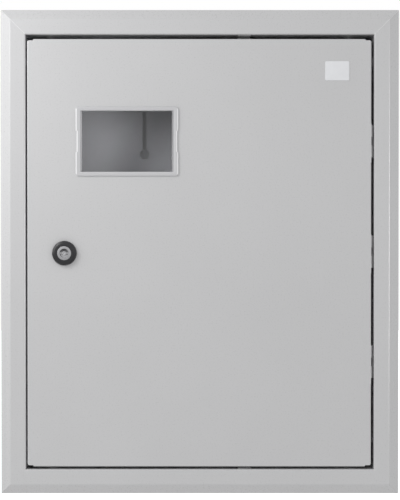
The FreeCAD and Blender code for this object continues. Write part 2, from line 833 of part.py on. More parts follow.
def lock_insert():
    """Turning insert: two-winged key core in a round recess, shaft and square end."""
    face_y = front_y - lock_head_height + insert_sink
    shoulder_y = face_y + insert_head
    square_rear = cam_front_y + cam_sheet - cam_square_fit
    body = rod(insert_radius, lock_place_x, lock_place_z, (face_y, shoulder_y))
    body = body.fuse(rod(insert_shaft_radius, lock_place_x, lock_place_z,
                         (shoulder_y - overrun, cam_front_y)))
    square = block(centred(lock_place_x, cam_square), (cam_front_y - overrun, square_rear),
                   centred(lock_place_z, cam_square))
    body = body.fuse(square)
    recess = rod(key_recess_radius, lock_place_x, lock_place_z, (face_y - overrun, face_y + key_recess_depth))
    core = rod(key_core_radius, lock_place_x, lock_place_z, (face_y, face_y + key_recess_depth))
    wings = block(centred(lock_place_x, 2 * key_recess_radius),
                  (face_y + key_wing_sink, face_y + key_recess_depth),
                  centred(lock_place_z, key_wing_width))
    body = body.cut(recess.cut(core).cut(wings))
    tapped = rod(cam_screw_radius + thread_fit, lock_place_x, lock_place_z,
                 (square_rear - cam_screw_reach, square_rear + overrun))
    return body.cut(tapped).removeSplitter()


def lock_nut():
    """Thin hexagon nut that clamps the housing to the door."""
    span = (door_inside_y, door_inside_y + lock_nut_height)
    nut = hexagon(lock_nut_across, lock_place_x, lock_place_z, span)
    return nut.cut(rod(barrel_thread_radius + thread_fit, lock_place_x, lock_place_z, span))


def lock_cam():
    """Flat cam that hangs down from the insert's square end."""
    span = (cam_front_y, cam_front_y + cam_sheet)
    half = cam_width / 2
    low = lock_place_z - cam_length
    corners = [
        (lock_place_x - half, lock_place_z + cam_tail - cam_tip_bevel),
        (lock_place_x - half + cam_tip_bevel, lock_place_z + cam_tail),
        (lock_place_x + half - cam_tip_bevel, lock_place_z + cam_tail),
        (lock_place_x + half, lock_place_z + cam_tail - cam_tip_bevel),
        (lock_place_x + half, low + cam_tip_bevel),
        (lock_place_x + half - cam_tip_bevel, low),
        (lock_place_x - half + cam_tip_bevel, low),
        (lock_place_x - half, low + cam_tip_bevel),
    ]
    plate = prism(corners, span)
    hole_size = cam_square + 2 * cam_square_fit
    hole = block(centred(lock_place_x, hole_size), (span[0] - overrun, span[1] + overrun),
                 centred(lock_place_z, hole_size))
    return plate.cut(hole)


def lock_cam_screw():
    """Hexagon screw that holds the cam on the insert."""
    seat = cam_front_y + cam_sheet
    tapped_end = seat - cam_square_fit - cam_screw_reach
    shank = rod(cam_screw_radius, lock_place_x, lock_place_z,
                (tapped_end + cam_screw_end_gap, seat + cam_screw_head / 2))
    head = hexagon(cam_screw_across, lock_place_x, lock_place_z, (seat, seat + cam_screw_head))
    return merged([shank, head])


def keyhole(x, z, run):
    """Round hole with a slot running up from it, through the meter plate."""
    through = (plate_front_y - plate_sheet, plate_front_y + 2 * plate_sheet)
    hole = rod(key_hole_radius, x, z, through)
    slot = block(centred(x, slot_width), through, (z, z + run - slot_width / 2))
    end = rod(slot_width / 2, x, z + run - slot_width / 2, through)
    return hole.fuse(slot).fuse(end)


def cable_pass(x, z):
    """Long round-ended hole for wires through the meter plate."""
    through = (plate_front_y - plate_sheet, plate_front_y + 2 * plate_sheet)
    reach = (cable_pass_length - cable_pass_width) / 2
    cut = block((x - reach, x + reach), through, centred(z, cable_pass_width))
    for side in (-1, 1):
        cut = cut.fuse(rod(cable_pass_width / 2, x + side * reach, z, through))
    return cut


def plate_fixings():
    """Places of the plate's four screws, as x and z."""
    x = plate_width / 2 - plate_hole_inset
    heights = (plate_bottom + plate_hole_inset, plate_top - plate_hole_inset)
    return [(side * x, z) for side in (-1, 1) for z in heights]


def meter_plate():
    """Plate with folded sides, three keyhole slots for a meter and two cable passes."""
    half = plate_width / 2
    rear = plate_front_y + plate_fold
    path = [(-half, rear), (-half, plate_front_y), (half, plate_front_y), (half, rear)]
    plate = folded_sheet(path, plate_sheet, plate_bend, along_z, (plate_bottom, plate_top))
    plate = plate.cut(keyhole(slot_place_x, plate_top - upper_slot_from_top, slot_run))
    for side in (-1, 1):
        plate = plate.cut(keyhole(slot_place_x + side * lower_slot_spread / 2,
                                  plate_bottom + lower_slot_from_bottom, lower_slot_run))
        plate = plate.cut(cable_pass(side * (plate_width / 2 - cable_pass_from_side),
                                     plate_bottom + cable_pass_from_bottom))
    through = (plate_front_y - plate_sheet, plate_front_y + 2 * plate_sheet)
    for x, z in plate_fixings():
        plate = plate.cut(rod(plate_screw_radius + hole_fit, x, z, through))
    return plate.removeSplitter()


def plate_standoffs():
    """Four hexagon posts between the back wall and the plate."""
    rear_of_plate = plate_front_y + plate_sheet
    posts = []
    for x, z in plate_fixings():
        post = hexagon(standoff_across, x, z, (rear_of_plate, inside_back_y))
        tapped = rod(plate_screw_radius + thread_fit, x, z,
                     (rear_of_plate - overrun, rear_of_plate + plate_screw_reach + overrun))
        posts.append(post.cut(tapped))
    return group(posts)


def plate_screws():
    """Screws through the plate's corners into the posts."""
    length = plate_sheet + plate_screw_reach
    screw = hexagon_screw(plate_screw_radius, plate_screw_across, plate_screw_head_height, length)
    return group([facing_front(screw, x, plate_front_y, z) for x, z in plate_fixings()])


def rail_slot_places():
    """Middles of as many slots as the rail's length has room for."""
    room = rail_length - 2 * rail_slot_margin - rail_slot_length
    last = int(room / rail_slot_pitch)
    return [(number - last / 2) * rail_slot_pitch for number in range(last + 1)]


def rail_screw_x():
    """Screw and bracket sit in the last slot but one."""
    return rail_slot_places()[-2]


def din_rail():
    """Slotted top-hat rail."""
    rear = rail_back_y - bracket_sheet
    front = rear - rail_depth
    base = rear - rail_sheet
    top = rail_place_z + rail_height / 2
    bottom = rail_place_z - rail_height / 2
    path = [(front, top), (front, top - rail_lip), (base, top - rail_lip),
            (base, bottom + rail_lip), (front, bottom + rail_lip), (front, bottom)]
    rail = folded_sheet(path, rail_sheet, rail_bend, along_x, centred(0, rail_length))
    reach = (rail_slot_length - rail_slot_width) / 2
    through = (base - rail_sheet, rear + rail_sheet)
    for x in rail_slot_places():
        cut = block((x - reach, x + reach), through, centred(rail_place_z, rail_slot_width))
        for side in (-1, 1):
            cut = cut.fuse(rod(rail_slot_width / 2, x + side * reach, rail_place_z, through))
        rail = rail.cut(cut)
    return rail


def rail_bracket_right():
    """Z-shaped bracket from the back wall to the rail, with a tapped hole."""
    web_x = rail_screw_x() + bracket_leg / 2
    foot_x = web_x + bracket_leg
    head_x = web_x - bracket_leg
    path = [(foot_x, inside_back_y), (web_x, inside_back_y), (web_x, rail_back_y), (head_x, rail_back_y)]
    bracket = folded_sheet(path, bracket_sheet, bracket_bend, along_z, centred(rail_place_z, bracket_width))
    tapped = rod(rail_screw_radius + thread_fit, rail_screw_x(), rail_place_z,
                 (rail_back_y - 2 * bracket_sheet, rail_back_y + bracket_sheet))
    return bracket.cut(tapped)


def rail_screws():
    """Screws through the rail into its brackets."""
    length = rail_sheet + bracket_sheet + rail_screw_tail
    seat = rail_back_y - bracket_sheet - rail_sheet
    screw = hexagon_screw(rail_screw_radius, rail_screw_across, rail_screw_head_height, length)
    return group([facing_front(screw, side * rail_screw_x(), seat, rail_place_z) for side in (-1, 1)])


def bar_way_places(middle_x):
    """Places of the wire ways along a bar."""
    return [middle_x + (number - (bar_ways - 1) / 2) * bar_pitch for number in range(bar_ways)]


def terminal_bar(middle_x):
    """Brass bar with a wire hole and a tapped hole for each way."""
    y_span = (bar_back_y - bar_depth, bar_back_y)
    bar = block(centred(middle_x, bar_length), y_span, centred(bar_place_z, bar_height))
    for x in bar_way_places(middle_x):
        start = FreeCAD.Vector(x, bar_back_y - wire_hole_from_back, bar_place_z - bar_height)
        bar = bar.cut(Part.makeCylinder(wire_hole_radius, 2 * bar_height, start, along_z))
        bar = bar.cut(rod(clamp_screw_radius + thread_fit, x, bar_place_z,
                          (y_span[0] - overrun, y_span[0] + clamp_screw_sink + thread_fit)))
    return bar


def clamp_screws(middle_x):
    """Slotted grub screws of a bar, one for each way, turned half in."""
    seat = bar_back_y - bar_depth
    front = seat - clamp_screw_rise
    screws = []
    for x in bar_way_places(middle_x):
        screw = rod(clamp_screw_radius, x, bar_place_z, (front, seat + clamp_screw_sink))
        slot = block(centred(x, 3 * clamp_screw_radius), (front - overrun, front + clamp_slot_depth),
                     centred(bar_place_z, clamp_slot_width))
        screws.append(screw.cut(slot))
    return group(screws)


def bar_carrier(middle_x):
    """Moulded carrier: foot with two posts that grip the bar."""
    foot_span = (inside_back_y - carrier_foot, inside_back_y)
    solid = block(centred(middle_x, carrier_length), foot_span, centred(bar_place_z, carrier_width))
    spots = [FreeCAD.Vector(x, 0, z) for x in centred(middle_x, carrier_length)
             for z in centred(bar_place_z, carrier_width)]
    solid = solid.makeFillet(carrier_corner, edges_through(solid, along_y, spots))
    slot_height = bar_height + 2 * carrier_fit
    for side in (-1, 1):
        post_x = centred(middle_x + side * (bar_length / 2 - carrier_post_inset), carrier_post)
        post = block(post_x, (bar_back_y - carrier_grip, inside_back_y - overrun),
                     centred(bar_place_z, carrier_width))
        slot = block(post_x, (bar_back_y - carrier_grip - overrun, bar_back_y),
                     centred(bar_place_z, slot_height))
        solid = solid.fuse(post.cut(slot))
    for x in carrier_screw_places(middle_x):
        solid = solid.cut(rod(carrier_screw_radius + hole_fit, x, bar_place_z,
                              (foot_span[0] - overrun, foot_span[1] + overrun)))
    return solid.removeSplitter()


def carrier_screw_places(middle_x):
    """Places of the two screws in a carrier's foot."""
    reach = carrier_length / 2 - carrier_screw_inset
    return [middle_x - reach, middle_x + reach]


def carrier_screws():
    """Screws of both carriers, into the back wall."""
    screw = hexagon_screw(carrier_screw_radius, carrier_screw_across, carrier_screw_head_height,
                          carrier_foot)
    places = carrier_screw_places(-bar_place_x) + carrier_screw_places(bar_place_x)
    return group([facing_front(screw, x, inside_back_y - carrier_foot, bar_place_z) for x in places])


def earth_stud(x, z, root_y, length, facing):
    """Stud welded to a sheet. Facing is -1 towards the front and 1 towards the back."""
    base = rod(stud_base_radius, x, z, (root_y, root_y + facing * stud_base_height))
    return merged([base, rod(stud_radius, x, z, (root_y, root_y + facing * length))])


def stud_washer(x, z, root_y, facing):
    """Washer against the stud's base."""
    near = root_y + facing * stud_base_height
    span = (near, near + facing * stud_washer_sheet)
    return rod(stud_washer_radius, x, z, span).cut(rod(stud_radius + hole_fit, x, z, span))


def stud_nut(x, z, root_y, facing):
    """Nut against the washer."""
    near = root_y + facing * (stud_base_height + stud_washer_sheet)
    span = (near, near + facing * stud_nut_height)
    nut = hexagon(stud_nut_across, x, z, span)
    return nut.cut(rod(stud_radius + thread_fit, x, z, span))


def all_nodes():
    """Every piece by its node's name."""
    nodes = {"back_box": back_box()}
    nodes.update(front_frame())
    nodes["frame_screws"] = frame_screws()
    nodes["door_stop_top"] = door_stop(1)
    nodes["door_stop_bottom"] = door_stop(-1)
    nodes["lock_keeper"] = lock_keeper()
    for name, z in hinge_places().items():
        nodes["hinge_frame_leaf_" + name] = hinge_frame_leaf(z)
        nodes["hinge_door_leaf_" + name] = hinge_door_leaf(z)
        nodes["hinge_pin_" + name] = hinge_pin(z)
    nodes["door_panel"] = door_panel()
    nodes["window_pane"] = window_pane()
    nodes["lock_housing"] = lock_housing()
    nodes["lock_nut"] = lock_nut()
    nodes["lock_insert"] = lock_insert()
    nodes["lock_cam"] = lock_cam()
    nodes["lock_cam_screw"] = lock_cam_screw()
    nodes["meter_plate"] = meter_plate()
    nodes["plate_standoffs"] = plate_standoffs()
    nodes["plate_screws"] = plate_screws()
    nodes["din_rail"] = din_rail()
    nodes["rail_bracket_right"] = rail_bracket_right()
    nodes["rail_bracket_left"] = mirrored(nodes["rail_bracket_right"])
    nodes["rail_screws"] = rail_screws()
    nodes["neutral_bar"] = terminal_bar(-bar_place_x)
    nodes["neutral_carrier"] = bar_carrier(-bar_place_x)
    nodes["neutral_clamp_screws"] = clamp_screws(-bar_place_x)
    nodes["earth_bar"] = terminal_bar(bar_place_x)
    nodes["earth_carrier"] = bar_carrier(bar_place_x)
    nodes["earth_clamp_screws"] = clamp_screws(bar_place_x)
    nodes["carrier_screws"] = carrier_screws()
    box_place = (box_inner_width / 2 - box_stud_from_side, box_floor_z + box_stud_from_bottom, inside_back_y)
    nodes["box_earth_stud"] = earth_stud(*box_place, box_stud_length, -1)
    nodes["box_earth_washer"] = stud_washer(*box_place, -1)
    nodes["box_earth_nut"] = stud_nut(*box_place, -1)
    door_foot_z = door_middle_z - door_height / 2
    door_place = (door_right - door_stud_from_side, door_foot_z + door_stud_from_bottom, door_inside_y)
    nodes["door_earth_stud"] = earth_stud(*door_place, door_stud_length, 1)
    nodes["door_earth_washer"] = stud_washer(*door_place, 1)
    nodes["door_earth_nut"] = stud_nut(*door_place, 1)
    return nodes


os.makedirs("parts", exist_ok=True)
for node_name, node_shape in all_nodes().items():
    node_shape.exportStep("parts/" + node_name + ".step")
    print(node_name, len(node_shape.Solids), "solids", round(node_shape.Volume), "mm3",
          "valid" if node_shape.isValid() else "NOT VALID")
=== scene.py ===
import json
import math
import bmesh
import bpy
import numpy as np
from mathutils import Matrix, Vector

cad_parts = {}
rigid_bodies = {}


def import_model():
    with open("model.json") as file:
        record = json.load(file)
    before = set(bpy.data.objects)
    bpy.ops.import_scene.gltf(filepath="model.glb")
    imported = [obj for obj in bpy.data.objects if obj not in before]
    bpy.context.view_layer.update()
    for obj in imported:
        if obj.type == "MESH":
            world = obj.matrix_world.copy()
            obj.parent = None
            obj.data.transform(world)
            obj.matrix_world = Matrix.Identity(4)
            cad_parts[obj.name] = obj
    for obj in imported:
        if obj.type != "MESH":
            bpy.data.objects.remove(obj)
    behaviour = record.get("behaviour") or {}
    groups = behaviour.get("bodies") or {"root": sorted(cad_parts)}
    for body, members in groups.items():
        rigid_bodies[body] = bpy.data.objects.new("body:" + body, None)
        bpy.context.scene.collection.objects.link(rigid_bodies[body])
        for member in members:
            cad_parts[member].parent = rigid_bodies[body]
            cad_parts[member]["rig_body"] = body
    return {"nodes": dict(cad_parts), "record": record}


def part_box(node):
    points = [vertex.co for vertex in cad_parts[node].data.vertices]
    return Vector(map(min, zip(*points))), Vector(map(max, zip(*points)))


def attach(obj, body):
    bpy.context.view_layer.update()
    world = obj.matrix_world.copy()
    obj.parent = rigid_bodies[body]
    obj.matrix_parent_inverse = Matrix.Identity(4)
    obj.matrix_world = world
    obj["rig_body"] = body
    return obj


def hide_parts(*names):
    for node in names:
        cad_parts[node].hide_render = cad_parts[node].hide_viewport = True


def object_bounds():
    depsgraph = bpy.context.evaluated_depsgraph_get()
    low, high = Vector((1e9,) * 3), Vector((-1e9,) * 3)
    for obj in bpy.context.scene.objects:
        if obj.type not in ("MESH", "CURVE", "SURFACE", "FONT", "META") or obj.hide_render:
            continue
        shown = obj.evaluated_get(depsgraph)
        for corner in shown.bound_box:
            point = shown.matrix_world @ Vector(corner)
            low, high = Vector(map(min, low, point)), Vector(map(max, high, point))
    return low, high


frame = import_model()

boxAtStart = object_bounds()
nodes = frame["nodes"]
mm = 0.001
print("scene: frame loaded,", len(nodes), "nodes")

# Camera, as the photograph was taken: straight at the front, a little above the middle
camera = {
    "distance": 1.5,          # lens to the front of the frame
    "height": 0.0195,
    "aside": 0.0002,
    "tiltDown": 0.65,         # degrees
    "sensorHeight": 24.0,
    "focalPixels": 1366.0,
    "imageHeight": 500,
}


def makeCamera(c):
    data = bpy.data.cameras.new("photoCamera")
    data.sensor_fit = "VERTICAL"
    data.sensor_height = c["sensorHeight"]
    data.lens = c["focalPixels"] / c["imageHeight"] * c["sensorHeight"]
    item = bpy.data.objects.new("photoCamera", data)
    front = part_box("frame_left")[0][1]
    item.location = (c["aside"], front - c["distance"], c["height"])
    item.rotation_euler = (math.radians(90 - c["tiltDown"]), 0, 0)
    bpy.context.scene.collection.objects.link(item)
    bpy.context.scene.camera = item


makeCamera(camera)


# Shader nodes
def startMaterial(name, color, roughness, metallic=0.0):
    material = bpy.data.materials.new(name)
    material.use_nodes = True
    shader = material.node_tree.nodes["Principled BSDF"]
    shader.inputs["Base Color"].default_value = (*color, 1)
    shader.inputs["Roughness"].default_value = roughness
    shader.inputs["Metallic"].default_value = metallic
    return material, material.node_tree, shader


def feed(tree, value, socket):
    # a plain number is typed in, and another node's output is linked
    if isinstance(value, (int, float)):
        socket.default_value = value
    else:
        tree.links.new(value, socket)


def worked(tree, operation, *values):
    node = tree.nodes.new("ShaderNodeMath")
    node.operation = operation
    for socket, value in zip(node.inputs, values):
        feed(tree, value, socket)
    return node.outputs[0]


def mapped(tree, value, step, kind="LINEAR"):
    # step is where the change starts, where it ends and the two results there
    node = tree.nodes.new("ShaderNodeMapRange")
    node.interpolation_type = kind
    for name, number in zip(("Value", "From Min", "From Max", "To Min", "To Max"), (value, *step)):
        feed(tree, number, node.inputs[name])
    return node.outputs["Result"]


# Surroundings: even soft light all round, lamps at the upper left, a weak fill at the right
light = {
    "around": 0.73,
    "lamps": {                # place, edge length and power
        "cornerLamp": ((-0.42, -0.42, 0.34), 0.16, 0.593),
        "keyLamp": ((-1.05, -0.95, 0.55), 0.7, 2.8),
        "fillLamp": ((1.0, -1.2, 0.1), 0.9, 0.787),
        "sideLamp": ((-0.75, -0.33, 0.2), 0.4, 0.719),
        "shineLamp": ((1.02, -1.1, 0.0), 0.5, 16.0),
    },
    "aim": (0, -0.15, 0),
    "shineOn": {"shineLamp": ["frame_left", "frame_right", "frame_top", "frame_bottom"]},
    "floorGlow": 0.62,        # seen by the camera only, so that the floor reads white
    "floorShade": 0.93,
    "floorRoughness": 0.9,
    "floorReach": 6.0,        # middle to edge
    "floorDrop": 0.25,        # the cabinet hangs on its wall fixings, clear of the floor
}


def areaLamp(name, place, size, power, aim, shineOn):
    # a lamp with nodes named in shineOn gives only gloss, and only there, as a window's light
    # does along a bent edge
    data = bpy.data.lights.new(name, "AREA")
    data.shape = "SQUARE"
    data.size = size
    data.energy = power
    lamp = bpy.data.objects.new(name, data)
    lamp.location = place
    lamp.rotation_euler = (Vector(aim) - Vector(place)).to_track_quat("-Z", "Y").to_euler()
    if shineOn:
        lamp.visible_diffuse = False
        takers = bpy.data.collections.new(name + "Takers")
        for nodeName in shineOn:
            takers.objects.link(nodes[nodeName])
        lamp.light_linking.receiver_collection = takers
    bpy.context.scene.collection.objects.link(lamp)


def makeWorld(strength):
    # the camera, clear plastic and shiny metal see plain white; the rest is lit by the soft light
    world = bpy.data.worlds.new("studio")
    bpy.context.scene.world = world
    world.use_nodes = True
    tree = world.node_tree
    path = tree.nodes.new("ShaderNodeLightPath")
    seen = worked(tree, "MAXIMUM", path.outputs["Is Camera Ray"], path.outputs["Is Transmission Ray"])
    seen = worked(tree, "MAXIMUM", seen, path.outputs["Is Glossy Ray"])
    background = tree.nodes["Background"]
    background.inputs["Color"].default_value = (1, 1, 1, 1)
    feed(tree, mapped(tree, seen, (0.0, 1.0, strength, 1.0)), background.inputs["Strength"])


def makeFloor(c):
    low = boxAtStart[0][2] - c["floorDrop"]
    reach = c["floorReach"]
    mesh = bpy.data.meshes.new("studioFloor")
    corners = [(-reach, -reach, low), (reach, -reach, low), (reach, reach, low), (-reach, reach, low)]
    mesh.from_pydata(corners, [], [(0, 1, 2, 3)])
    floor = bpy.data.objects.new("studioFloor", mesh)
    bpy.context.scene.collection.objects.link(floor)
    material, tree, shader = startMaterial("studioFloor", [c["floorShade"]] * 3, c["floorRoughness"])
    shader.inputs["Emission Color"].default_value = (1, 1, 1, 1)
    path = tree.nodes.new("ShaderNodeLightPath")
    glow = worked(tree, "MULTIPLY", path.outputs["Is Camera Ray"], c["floorGlow"])
    feed(tree, glow, shader.inputs["Emission Strength"])
    mesh.materials.append(material)


makeWorld(light["around"])
for lampName, (lampPlace, lampSize, lampPower) in light["lamps"].items():
    areaLamp(lampName, lampPlace, lampSize, lampPower, light["aim"], light["shineOn"].get(lampName))
makeFloor(light)
print("scene: camera, lights and floor")


# Materials: scales count a pattern's cells in a metre, and heights are in metres
noiseSpan = (0.3, 0.7)        # where most of a noise's values lie


def objectPoints(tree, scale=(1, 1, 1)):
    # place on the object in metres, times a scale for each axis
    where = tree.nodes.new("ShaderNodeTexCoord")
    mapping = tree.nodes.new("ShaderNodeMapping")
    mapping.inputs["Scale"].default_value = scale
    tree.links.new(where.outputs["Object"], mapping.inputs["Vector"])
    return mapping.outputs["Vector"]


def noise(tree, points, scale, detail=2.0):
    node = tree.nodes.new("ShaderNodeTexNoise")
    node.inputs["Scale"].default_value = scale
    node.inputs["Detail"].default_value = detail
    tree.links.new(points, node.inputs["Vector"])
    return node.outputs["Fac"]


def ranged(tree, value, low, high):
    # carries the span where most noise lies to low..high
    return mapped(tree, value, (*noiseSpan, low, high))


def marked(tree, name):
    # number that a piece keeps at each of its points
    node = tree.nodes.new("ShaderNodeAttribute")
    node.attribute_name = name
    return node.outputs["Fac"]


def shaded(color, share):
    return [min(1.0, value * share) for value in color]


def tinted(tree, value, dark, pale, shader, tone=None):
    # a colour between two, times a tone if one is given
    ramp = tree.nodes.new("ShaderNodeMix")
    ramp.data_type = "RGBA"
    ramp.inputs["A"].default_value = (*dark, 1)
    ramp.inputs["B"].default_value = (*pale, 1)
    tree.links.new(value, ramp.inputs["Factor"])
    color = ramp.outputs["Result"]
    if tone is not None:
        toned = tree.nodes.new("ShaderNodeVectorMath")
        toned.operation = "SCALE"
        tree.links.new(color, toned.inputs[0])
        tree.links.new(tone, toned.inputs["Scale"])
        color = toned.outputs["Vector"]
    tree.links.new(color, shader.inputs["Base Color"])


def bumped(tree, shader, *bumps):
    # bumps are (value, height) pairs, one on top of another
    last = None
    for value, height in bumps:
        node = tree.nodes.new("ShaderNodeBump")
        node.inputs["Strength"].default_value = 1.0
        node.inputs["Distance"].default_value = height
        tree.links.new(value, node.inputs["Height"])
        if last is not None:
            tree.links.new(last, node.inputs["Normal"])
        last = node.outputs["Normal"]
    tree.links.new(last, shader.inputs["Normal"])


coat = {
    "cloud": 9.0,
    "cloudDetail": 3.0,
    "spread": 0.012,          # share by which the cloud changes the tone, either way
    "peel": 620.0,
    "peelHeight": 0.00003,
    "grit": 2600.0,
    "gritHeight": 0.000012,
    "roughness": (0.26, 0.33),
}


def powderCoat(name, color):
    # a faint cloud in the tone, and orange peel under a fine grit
    material, tree, shader = startMaterial(name, color, sum(coat["roughness"]) / 2)
    points = objectPoints(tree)
    cloud = ranged(tree, noise(tree, points, coat["cloud"], coat["cloudDetail"]), 0.0, 1.0)
    peel = noise(tree, points, coat["peel"])
    grit = noise(tree, points, coat["grit"])
    tinted(tree, cloud, shaded(color, 1 - coat["spread"]), shaded(color, 1 + coat["spread"]), shader)
    feed(tree, ranged(tree, peel, *coat["roughness"]), shader.inputs["Roughness"])
    bumped(tree, shader, (peel, coat["peelHeight"]), (grit, coat["gritHeight"]))
    return material


zinc = {
    "metallic": 0.85,
    "lines": 260.0,
    "lineStretch": (1, 1, 18),
    "lineHeight": 0.000006,
}

# painted light and shade on the meter plate: pale at the left, darkest after it, a little paler again
paintedPlateSheen = {                 # each step: from and to in metres, and the tone at both
    "slant": 0.5,
    "fall": (-0.225, -0.125, 1.6, 0.42),
    "rise": (-0.13, -0.07, 0.0, 0.5),
}


def paintedSheenTone(tree, paintedSheen):
    # painted sheen and shade in slanting bands: along X minus a share of Z the tone falls, then rises again
    where = tree.nodes.new("ShaderNodeTexCoord")
    along = tree.nodes.new("ShaderNodeVectorMath")
    along.operation = "DOT_PRODUCT"
    along.inputs[1].default_value = (1, 0, -paintedSheen["slant"])
    tree.links.new(where.outputs["Object"], along.inputs[0])
    steps = [mapped(tree, along.outputs["Value"], paintedSheen[part], "SMOOTHSTEP") for part in ("fall", "rise")]
    return worked(tree, "ADD", *steps)


def zincSheet(name, color, roughness, cellScale, contrast, paintedSheen=None):
    # zinc crystals: cells of slightly different shade, with fine rolling lines, and if wanted painted sheen
    # and shade in bands
    material, tree, shader = startMaterial(name, color, roughness, zinc["metallic"])
    cells = tree.nodes.new("ShaderNodeTexVoronoi")
    cells.inputs["Scale"].default_value = cellScale
    tree.links.new(objectPoints(tree), cells.inputs["Vector"])
    gray = tree.nodes.new("ShaderNodeRGBToBW")
    tree.links.new(cells.outputs["Color"], gray.inputs["Color"])
    shade = gray.outputs["Val"]
    tone = None if paintedSheen is None else paintedSheenTone(tree, paintedSheen)
    tinted(tree, shade, shaded(color, 1 - contrast), shaded(color, 1 + contrast), shader, tone)
    uneven = ranged(tree, shade, roughness - contrast / 2, roughness + contrast / 2)
    feed(tree, uneven, shader.inputs["Roughness"])
    lines = noise(tree, objectPoints(tree, zinc["lineStretch"]), zinc["lines"])
    bumped(tree, shader, (lines, zinc["lineHeight"]))
    return material


metal = {
    "streakDetail": 4.0,
    "shades": (0.86, 1.08),   # darkest and palest, as shares of the colour
    "dull": (0.07, -0.05),    # added to the roughness where it is dark and pale
    "finer": 9,               # grain, times finer than the streaks
    "grainHeight": 0.000005,
}


def metalPart(name, color, roughness, streakScale):
    # bare metal: a streaky cloud in its shade and roughness, under a finer grain
    material, tree, shader = startMaterial(name, color, roughness, 1.0)
    points = objectPoints(tree)
    cloud = noise(tree, points, streakScale, metal["streakDetail"])
    dark, pale = (shaded(color, share) for share in metal["shades"])
    tinted(tree, ranged(tree, cloud, 0.0, 1.0), dark, pale, shader)
    uneven = ranged(tree, cloud, roughness + metal["dull"][0], roughness + metal["dull"][1])
    feed(tree, uneven, shader.inputs["Roughness"])
    bumped(tree, shader, (noise(tree, points, streakScale * metal["finer"]), metal["grainHeight"]))
    return material


plastic = {
    "cloud": 40.0,
    "spread": 0.08,           # share by which the cloud changes the tone
    "dull": 0.04,             # and by how much it changes the roughness
    "grain": 1500.0,
    "grainHeight": 0.000012,
}


def mouldedPlastic(name, color, roughness):
    # a faint cloud in its tone and roughness, and a fine grain from the mould
    material, tree, shader = startMaterial(name, color, roughness)
    points = objectPoints(tree)
    cloud = noise(tree, points, plastic["cloud"])
    dark, pale = (shaded(color, 1 + side * plastic["spread"]) for side in (-1, 1))
    tinted(tree, ranged(tree, cloud, 0.0, 1.0), dark, pale, shader)
    uneven = ranged(tree, cloud, roughness - plastic["dull"], roughness + plastic["dull"])
    feed(tree, uneven, shader.inputs["Roughness"])
    bumped(tree, shader, (noise(tree, points, plastic["grain"]), plastic["grainHeight"]))
    return material


clear = {
    "color": (0.67, 0.67, 0.685),
    # white of a painted highlight on the rim's left and right edges
    "paintedHighlightColor": (0.83, 0.83, 0.84),
    "rimCover": 0.78,         # how much the rim hides of what lies behind
    "haze": (-0.145, -0.06, 0.095, 0.04),    # the same in the pane, from one X to another; the extra towards the left is painted light
    "roughness": (0.04, 0.17),               # of the pane and of the rim
    "ior": 1.49,
    "ripple": 55.0,
    "rippleHeight": 0.000002,
}


def clearPlastic(name, c):
    # see-through in the pane, with a faint haze that grows towards the left, where it is painted light;
    # nearly covered in the rim, where the thick moulding scatters the light, and a white painted highlight
    # on the rim's left and right edges
    material, tree, shader = startMaterial(name, c["color"], c["roughness"][0])
    shader.inputs["IOR"].default_value = c["ior"]
    points = objectPoints(tree)
    bumped(tree, shader, (noise(tree, points, c["ripple"], 1.0), c["rippleHeight"]))
    rim = marked(tree, "rim")                       # 0 in the pane, 1 in the rim, up to 2 at its left and right edges for a painted highlight
    # above 1 the mark paints the highlight white and covers all that lies behind it
    edge = mapped(tree, rim, (1.0, 2.0, 0.0, 1.0))
    tinted(tree, edge, c["color"], c["paintedHighlightColor"], shader)
    apart = tree.nodes.new("ShaderNodeSeparateXYZ")
    tree.links.new(points, apart.inputs[0])
    haze = mapped(tree, apart.outputs["X"], c["haze"], "SMOOTHSTEP")
    cover = mapped(tree, rim, (0.0, 1.0, haze, c["rimCover"]))
    feed(tree, worked(tree, "MULTIPLY_ADD", edge, 1.0 - c["rimCover"], cover), shader.inputs["Alpha"])
    feed(tree, mapped(tree, rim, (0.0, 1.0, *c["roughness"])), shader.inputs["Roughness"])
    return material


plating = {
    "shades": (1.4, 0.5),     # painted highlight on the face and painted shade down in the recess, as shares of the colour
    "cloud": 700.0,
    "cloudDetail": 3.0,
    "dull": (-0.05, 0.08),    # the cloud adds this to the roughness
    "recessDull": 0.6,        # roughness down in the recess
    "grain": 2400.0,
    "grainHeight": 0.000006,
}


def insertMetal(name, color, roughness):
    # plated metal, dull down in the key recess, with painted shade there and a painted highlight on the face
    # and the core's end
    material, tree, shader = startMaterial(name, color, roughness, 1.0)
    points = objectPoints(tree)
    deep = marked(tree, "deep")
    face, recess = (shaded(color, share) for share in plating["shades"])
    tinted(tree, deep, face, recess, shader)
    cloud = noise(tree, points, plating["cloud"], plating["cloudDetail"])
    worn = ranged(tree, cloud, roughness + plating["dull"][0], roughness + plating["dull"][1])
    dull = mapped(tree, deep, (0.0, 1.0, 0.0, plating["recessDull"]))
    feed(tree, worked(tree, "MAXIMUM", dull, worn), shader.inputs["Roughness"])
    bumped(tree, shader, (noise(tree, points, plating["grain"]), plating["grainHeight"]))
    return material


